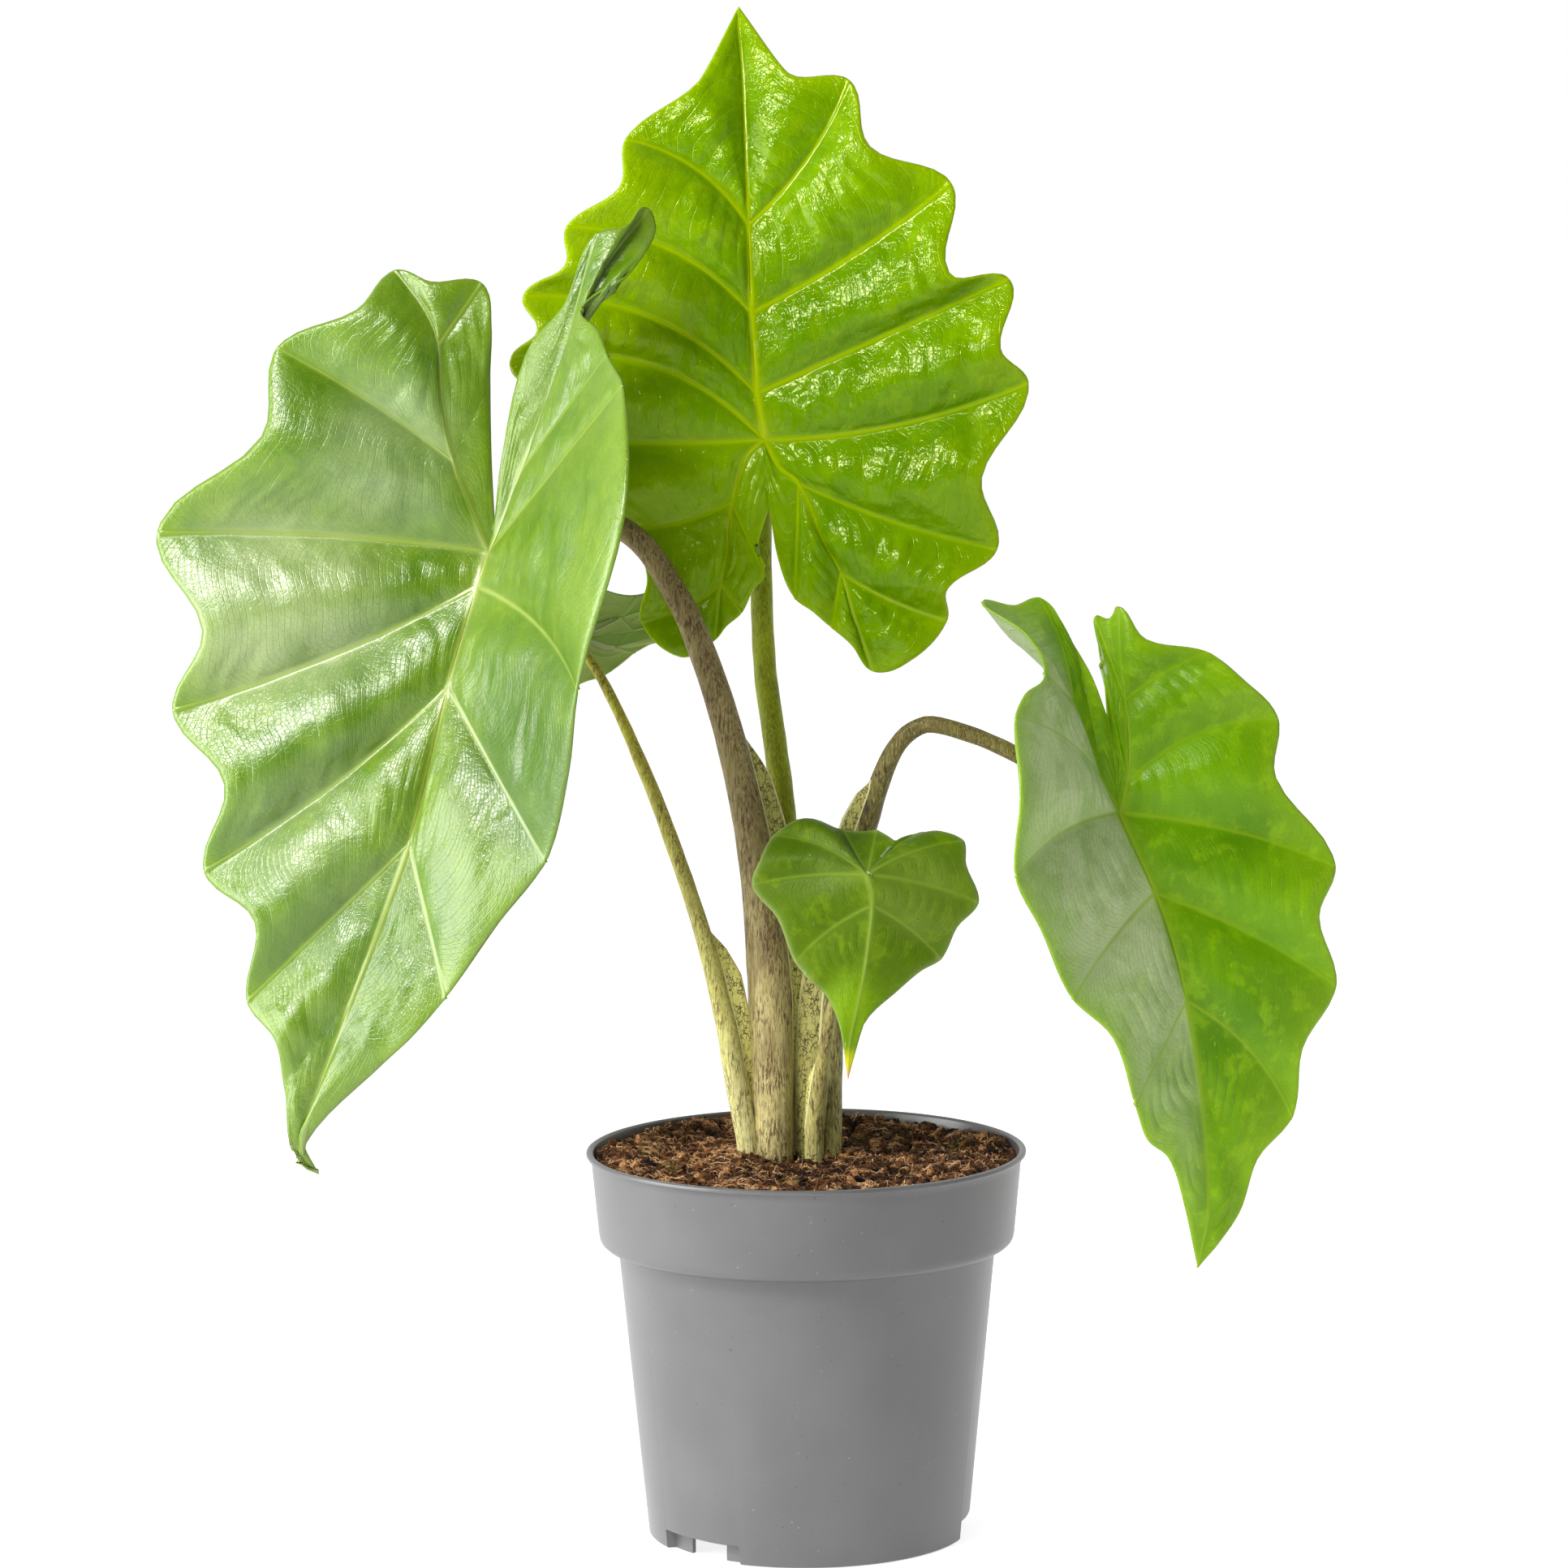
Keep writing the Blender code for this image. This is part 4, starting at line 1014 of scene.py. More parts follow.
class LeafSkin(NodeSheet):
    """The finish of one side of a leaf, with the sizes of its patterns in metres."""

    broad_size = 0.050
    cloud_size = 0.016
    mottle_size = 0.012
    blotch_size = 0.009
    crinkle_size = 0.0050
    net_size = 0.0022
    streak_size = 0.0016
    pore_size = 0.0013
    speck_size = 0.0011
    dent_depth = 0.00022
    under_depth = 0.0003

    def __init__(self, look: LeafFinish, surface: Surface) -> None:
        """Lay down the patterns that the sides of a leaf share.

        Args:
            look: The leaf's look.
            surface: The side.
        """
        super().__init__(f"{look.name}_{surface.value}")
        self.look = look
        self.broad = self.step(self.grain(self.broad_size), 0.35, 0.65)
        self.mottle = self.step(self.grain(self.mottle_size, 5.0, None, 0.6), 0.38, 0.66)
        self.between = self.value_of("between")
        self.lace = self.times(self.side_veins(1.0, 0.13), self.between)
        self.comb = self.times(self.side_veins(3.0, 0.45), self.between)
        self.net = self.times(self.step(self.edges(self.net_size), 0.12, 0.0), self.between)

    @classmethod
    def of(cls, look: LeafFinish, surface: Surface) -> bpy.types.Material:
        """Return the finish of one side of a leaf."""
        skin = cls(look, surface)
        return {Surface.UPPER: skin.upper, Surface.LOWER: skin.lower, Surface.RIM: skin.rim}[surface]()

    def side_veins(self, finer: float, width: float) -> object:
        """Return thin lines, 1 on the line, along the blade's side veins.

        Args:
            finer: How many lines there are to each swelling of the blade.
            width: The share of the spacing that a line and its fade take.

        Returns:
            The output socket.
        """
        wave = self.sums("SINE", self.times(self.value_of("lace"), math.pi * finer), 0.0)
        return self.step(self.sums("ABSOLUTE", wave, 0.0), width, 0.0)

    def lower(self) -> bpy.types.Material:
        """Return the underside: paler and matt, with its veins standing out.

        Returns:
            The material.
        """
        look = self.look
        colour = self.layered(look.under, (
            (look.light, self.broad, 0.22), (look.under_vein, self.lace, 0.5),
            (look.under_vein, self.comb, 0.15), (look.under_vein, self.net, 0.15),
            (look.under_vein, self.value_of("vein"), 1.2)))
        height = self.total(((self.lace, 1.0), (self.net, 0.4), (self.comb, 0.3)))
        normal = self.bump(height, self.under_depth, 0.6)
        return self.finish(colour, look.roughness + 0.2, normal, look.glow * 1.3, look.warm)

    def rim(self) -> bpy.types.Material:
        """Return the thin rim between the two sides.

        Returns:
            The material.
        """
        look = self.look
        colour = self.patched(self.layered(look.margin, ((look.light, self.mottle, 0.5),)), look.tips)
        return self.finish(colour, look.roughness + 0.1, None, look.glow, look.warm)

    def upper(self) -> bpy.types.Material:
        """Return the upper side: waxy and blotched, with pale veins, streaks, specks and dents, painted sheen
        and a painted glow along the margin.

        Returns:
            The material.
        """
        look = self.look
        vein, halo, edge, outer = (self.value_of(name) for name in ("vein", "halo", "edge", "outer"))
        blotch = self.step(self.grain(self.blotch_size, 5.0, None, 0.65), 0.50, 0.62)
        cloud = self.step(self.grain(self.cloud_size, 4.0, None, 0.6), 0.34, 0.58, 0.65, 1.0)
        # Painted sheen, fading towards the margin and broken up by the cloud.
        inner = self.sums("SUBTRACT", 1.0, self.times(outer, 0.85))
        painted_sheen = self.times(self.times(self.value_of("painted_sheen"), inner), cloud)
        streak = self.streaks(self.streak_size, 0.0, 0.15, 0.855, 0.875)
        speck = self.step(self.grain(self.speck_size, 0.0), 0.83, 0.86)
        colour = self.layered(look.deep, (
            (look.light, self.total(((self.broad, 0.6), (self.mottle, 0.35))), 1.0),
            # Painted light shining through the margin band.
            (look.warm, outer, look.margin_glow_share), (look.warm, blotch, look.blotch),
            (look.painted_sheen, painted_sheen, look.painted_sheen_strength)))
        colour = self.layered(self.patched(colour, look.patches, cloud), (
            (look.vein, halo, 0.25), (look.vein, self.lace, look.lace_share),
            (look.light, self.comb, 0.30), (look.deep, self.net, 0.18), (look.margin, streak, 0.8),
            (look.speck, speck, 0.7), (look.vein, vein, 1.15), (look.margin, edge, 0.6)))
        crinkles = self.times(self.grain(self.crinkle_size, 2.0), self.between)
        height = self.total((
            (self.grain(self.pore_size, 2.0), 0.2), (self.lace, -4 * look.lace_share),
            (self.net, -0.30), (self.comb, -0.35), (crinkles, look.crinkle)))
        normal = self.bump(height, self.dent_depth, 0.6)
        self.fix({"Specular IOR Level": look.gloss, "Specular Tint": look.gloss_tint,
                  "Coat Weight": look.wax, "Coat Roughness": look.wax_roughness, "Coat IOR": 1.8,
                  "Coat Normal": normal})
        rough = self.sums("ADD", look.roughness, self.times(self.mottle, 0.06))
        return self.finish(self.patched(colour, look.tips), rough, normal, look.glow, look.warm)


@dataclass(frozen=True)
class StalkFinish:
    """The look of one stalk: its skin from top to foot, its mottles and its sheath."""

    name: str
    top: Colour
    middle: Colour
    foot: Colour
    mottle: Colour
    cloud_share: float
    dash: Colour
    dash_share: float
    sheath: Colour
    net: Colour
    rim: Colour

    def material(self) -> bpy.types.Material:
        """Lay down mottled skin, a netted sheath with a pale rim, and specks of soil.

        Returns:
            The material.
        """
        sheet = NodeSheet(self.name)
        rise, fin = sheet.value_of("rise"), sheet.value_of("fin")
        cloud = sheet.streaks(0.011, 3.0, 0.5, 0.38, 0.66)
        worn = sheet.streaks(0.0030, 4.0, 0.12, 0.46, 0.64, 0.65)
        fibres = sheet.grain(0.0005, 3.0, sheet.stretched((1.0, 1.0, 0.04)), 0.6)
        fine = sheet.streaks(0.00055, 2.0, 0.16, 0.545, 0.585)
        dashes = sheet.streaks(0.0009, 2.0, 0.17, 0.56, 0.60)
        longer = sheet.streaks(0.0015, 3.0, 0.15, 0.60, 0.65, 0.6)
        spread = sheet.grain(0.009, 4.0, sheet.stretched((1.0, 1.0, 0.6)), 0.6)
        marks = sheet.sums("MAXIMUM", sheet.sums("MAXIMUM", dashes, longer), sheet.times(fine, 0.75))
        marks = sheet.times(marks, sheet.step(spread, 0.36, 0.60, 0.35, 1.0))
        worms = sheet.stretched((1.0, 1.0, 0.6))
        net = sheet.step(sheet.edges(0.0014, sheet.pushed(worms, 0.0016, 0.0011)), 0.13, 0.03)
        net = sheet.times(net, sheet.step(sheet.grain(0.0024, 3.0, worms), 0.40, 0.52))
        sheath = sheet.layered(self.sheath, ((self.net, net, 0.9), (self.dash, fine, 0.3)))
        seam = sheet.times(sheet.step(fin, 0.015, 0.035), sheet.step(fin, 0.10, 0.06))
        wet = sheet.step(sheet.axis("Z"), 0.179, 0.163, 0.0, 0.30)
        splash = sheet.sums("ADD", sheet.grain(0.0020, 4.0, None, 0.65), wet)
        colour = sheet.layered(self.foot, (
            (self.middle, sheet.step(rise, 0.10, 0.36), 1.0), (self.top, sheet.step(rise, 0.40, 0.85), 1.0),
            (self.mottle, cloud, self.cloud_share), (self.rim, sheet.step(fibres, 0.48, 0.72), 0.35),
            (self.mottle, sheet.step(fibres, 0.5, 0.28), 0.45), (self.mottle, worn, self.cloud_share),
            (self.dash, marks, self.dash_share), (sheath, sheet.step(fin, 0.03, 0.10), 1.0),
            (self.rim, sheet.sums("MAXIMUM", seam, sheet.step(fin, 0.86, 0.95)), 1.0),
            (SPLASHED, sheet.step(splash, 0.80, 0.86), 1.0)))
        height = sheet.total(((fibres, 0.9), (marks, -0.3), (net, -0.3)))
        rough = sheet.sums("ADD", 0.42, sheet.times(cloud, 0.15))
        sheet.fix({"Specular IOR Level": 0.3})
        return sheet.finish(colour, rough, sheet.bump(height, 0.00020, 0.6))


@dataclass
class Stalk:
    """One petiole with its sheath wing, from the soil to its seat under the blade."""

    name: str
    stations: Sequence[Tuple[float, float, float, float]]
    seat: Point
    wing_side: Point
    wing: Sequence[Tuple[float, float]]
    slot: str
    finish: StalkFinish
    wing_lean: float = 0.5
    sides: int = 56
    step: float = 3.0
    seed: float = 1.0

    def line(self) -> Tuple[Array, Array, Array]:
        """Return the rings' centres, radii and directions.

        Returns:
            The three of them, with one row for each ring.
        """
        fine = smooth_line(self.stations, 10)
        lengths = np.concatenate(
            [[0.0], np.cumsum(np.linalg.norm(np.diff(fine[:, :3], axis=0), axis=1))])
        count = int(lengths[-1] / self.step)
        places = np.linspace(0, lengths[-1], count + 1)
        rings = np.stack([np.interp(places, lengths, fine[:, axis]) for axis in range(4)], axis=1)
        directions = unit(np.gradient(rings[:, :3], axis=0))
        seat = unit(np.array(self.seat, dtype=float))
        for back, share in ((1, 1.0), (2, 0.7), (3, 0.35)):
            directions[-back] = unit(directions[-back] * (1 - share) + seat * share)
        return rings[:, :3], rings[:, 3], directions

    def build(self) -> bpy.types.Object:
        """Loft the stalk, close its ends and finish it.

        Returns:
            The stalk.
        """
        centres, radii, directions = self.line()
        turns = np.linspace(0, math.tau, self.sides + 1)
        bumps = np.maximum(0.0, np.cos(turns)) ** 22
        side = unit(np.array(self.wing_side, dtype=float))
        wing = np.array(sorted(self.wing))
        places, rise, fin = [], [], []
        total = len(centres)
        for index in range(total):
            direction = directions[index]
            side = unit(side - direction * (side @ direction))
            other = np.cross(direction, side)
            flare = float(np.interp(centres[index, 2], wing[:, 0], wing[:, 1], left=0.0, right=0.0))
            reach = radii[index] + flare * bumps
            lean = self.wing_lean * flare * bumps ** 2
            ring = (centres[index] + np.outer(np.cos(turns) * reach, side)
                    + np.outer(np.sin(turns) * reach - lean, other))
            places.append(ring)
            rise.append(np.full(len(turns), index / (total - 1)))
            fin.append(bumps * min(1.0, flare / 3.0))
        grid = np.array(places)
        wobble = lumps(grid, 9.0, self.seed)[..., None] * 0.22
        outward = unit(grid - centres[:, None])
        grid = grid + outward * wobble
        grid, tables = self.closed(grid, {"rise": np.array(rise), "fin": np.array(fin)})
        grid[:, -1] = grid[:, 0]
        item = wrapped_grid(self.name + "_skin", grid, tables)
        item.data.materials.append(self.finish.material())
        dress(item, (self.name,))
        return item

    @staticmethod
    def closed(grid: Array, tables: Dict[str, Array]) -> Tuple[Array, Dict[str, Array]]:
        """Close both ends of a loft with rings that shrink to a point.

        Args:
            grid: The loft's rings.
            tables: The numbers that go with them.

        Returns:
            The closed grid and its numbers.
        """
        first, last = grid[0], grid[-1]
        start = [first.mean(axis=0) + (first - first.mean(axis=0)) * share for share in (0.0, 0.6)]
        end = [last.mean(axis=0) + (last - last.mean(axis=0)) * share for share in (0.6, 0.0)]
        for ring in (start[0], end[1]):
            ring[:] = ring.mean(axis=0)
        grid = np.concatenate([np.array(start), grid, np.array(end)])
        wide = {}
        for key, table in tables.items():
            wide[key] = np.concatenate([table[:1], table[:1], table, table[-1:], table[-1:]])
        return grid, wide


BRIGHT = LeafFinish(
    name="bright_leaf", deep=tone(92, 140, 0), light=tone(126, 170, 0), warm=tone(176, 206, 0),
    vein=tone(184, 204, 6), margin=tone(174, 206, 6), under=tone(130, 166, 50),
    under_vein=tone(180, 195, 90), roughness=0.06, gloss=0.42, gloss_tint=(1.0, 1.0, 0.5),
    wax=0.0, wax_roughness=0.1, glow=0.28, lace_share=0.18, margin_glow_share=0.35,
    speck=tone(120, 120, 30), crinkle=6.0, blotch=0.22,
    # The three yellow patches on the left are partly the blade's own yellower tone, partly painted light
    # shining through it.
    patches=(Patch((-120.0, 40.0, 540.0), 100.0, tone(176, 204, 0), 0.5),
             Patch((-46.0, 45.0, 436.0), 62.0, tone(160, 196, 0), 0.6),
             Patch((-30.0, 50.0, 640.0), 46.0, tone(150, 190, 0), 0.4),
             Patch((0.0, 40.0, 480.0), 54.0, tone(104, 156, 0), 0.4)))
HAZY = LeafFinish(
    name="hazy_leaf", deep=tone(76, 118, 6), light=tone(112, 144, 14), warm=tone(140, 176, 16),
    vein=tone(156, 174, 76), margin=tone(118, 152, 30), under=tone(120, 148, 70),
    under_vein=tone(168, 186, 110), roughness=0.34, gloss=0.5, gloss_tint=(1.0, 1.0, 0.85),
    wax=0.5, wax_roughness=0.25, glow=0.10, lace_share=0.05, margin_glow_share=0.3,
    speck=tone(90, 90, 40), crinkle=2.4, blotch=0.15,
    # The three pale patches are painted sheen on the blade's left half; the dark one is painted shade on its
    # right half.
    patches=(Patch((-224.0, 6.0, 402.0), 62.0, tone(190, 204, 152), 0.55),
             Patch((-176.0, 0.0, 470.0), 44.0, tone(186, 202, 150), 0.35),
             Patch((-212.0, -10.0, 306.0), 42.0, tone(186, 202, 150), 0.22),
             Patch((-112.0, -62.0, 350.0), 66.0, tone(56, 96, 0), 0.75)))
LUSH = LeafFinish(
    name="lush_leaf", deep=tone(80, 132, 0), light=tone(122, 170, 0), warm=tone(168, 210, 20),
    vein=tone(150, 182, 40), margin=tone(160, 198, 50), under=tone(190, 206, 156),
    under_vein=tone(196, 212, 160), roughness=0.36, gloss=0.28, gloss_tint=(1.0, 1.0, 0.6),
    wax=0.12, wax_roughness=0.25, glow=0.26, lace_share=0.10, margin_glow_share=0.55,
    # Painted sheen: the pale greyish reflection on the left half of the blade.
    speck=tone(214, 214, 90), crinkle=1.6, blotch=0.4, painted_sheen=tone(222, 228, 186), painted_sheen_strength=1.0,
    patches=(Patch((168.0, -20.0, 330.0), 34.0, tone(132, 188, 0), 0.6),
             Patch((196.0, -20.0, 268.0), 40.0, tone(132, 188, 0), 0.5)))
DEEP = LeafFinish(
    name="deep_leaf", deep=tone(56, 90, 0), light=tone(86, 118, 0), warm=tone(130, 160, 0),
    vein=tone(126, 152, 50), margin=tone(176, 190, 120), under=tone(140, 164, 100),
    under_vein=tone(170, 190, 130), roughness=0.40, gloss=0.25, gloss_tint=(1.0, 1.0, 0.5),
    wax=0.0, wax_roughness=0.3, glow=0.10, lace_share=0.1, margin_glow_share=0.12,
    speck=tone(70, 60, 20), crinkle=1.2, blotch=0.3,
    patches=(Patch((24.0, -44.0, 228.0), 32.0, tone(120, 160, 0), 0.9),
             # The next two greyish patches are painted sheen.
             Patch((52.0, -40.0, 284.0), 30.0, tone(124, 144, 60), 0.5),
             Patch((12.0, -42.0, 300.0), 22.0, tone(110, 132, 60), 0.4)),
    tips=(Patch((18.0, -42.0, 209.0), 12.0, tone(200, 200, 30), 1.0),
          Patch((17.4, -42.0, 204.0), 9.0, tone(222, 172, 104), 1.0),
          Patch((17.2, -42.0, 200.0), 5.0, tone(128, 90, 62), 1.0)))
REAR = LeafFinish(
    name="rear_leaf", deep=tone(60, 118, 20), light=tone(90, 140, 40), warm=tone(150, 190, 60),
    vein=tone(150, 185, 100), margin=tone(200, 212, 150), under=tone(216, 228, 146),
    under_vein=tone(226, 232, 178), roughness=0.36, gloss=0.5, gloss_tint=(1.0, 1.0, 0.8),
    wax=0.2, wax_roughness=0.3, glow=0.34, lace_share=0.15, margin_glow_share=0.2,
    speck=tone(110, 110, 60))

STALK_TOP = StalkFinish(
    name="green_stalk", top=tone(162, 174, 10), middle=tone(156, 168, 16), foot=tone(176, 176, 60),
    mottle=tone(108, 112, 20), cloud_share=0.25, dash=tone(66, 58, 20), dash_share=0.5,
    sheath=tone(160, 158, 66), net=tone(66, 50, 24), rim=tone(204, 206, 100))
STALK_LEFT = StalkFinish(
    name="brown_stalk", top=tone(162, 142, 92), middle=tone(160, 144, 90), foot=tone(208, 194, 126),
    mottle=tone(108, 88, 54), cloud_share=0.4, dash=tone(78, 52, 32), dash_share=0.85,
    sheath=tone(186, 182, 100), net=tone(66, 46, 26), rim=tone(226, 216, 170))
STALK_RIGHT = StalkFinish(
    name="arched_stalk", top=tone(120, 110, 46), middle=tone(126, 114, 54), foot=tone(186, 180, 106),
    mottle=tone(86, 72, 36), cloud_share=0.45, dash=tone(56, 42, 24), dash_share=0.85,
    sheath=tone(180, 174, 98), net=tone(54, 40, 22), rim=tone(220, 214, 156))
STALK_FRONT = StalkFinish(
    name="small_stalk", top=tone(140, 134, 64), middle=tone(176, 168, 90), foot=tone(200, 196, 118),
    mottle=tone(116, 96, 50), cloud_share=0.35, dash=tone(72, 52, 30), dash_share=0.85,
    sheath=tone(200, 200, 112), net=tone(80, 60, 32), rim=tone(226, 220, 168))
STALK_REAR = StalkFinish(
    name="pale_stalk", top=tone(206, 200, 62), middle=tone(206, 204, 108), foot=tone(232, 228, 156),
    mottle=tone(150, 128, 64), cloud_share=0.22, dash=tone(92, 62, 34), dash_share=0.75,
    sheath=tone(216, 212, 118), net=tone(80, 58, 30), rim=tone(240, 232, 180))

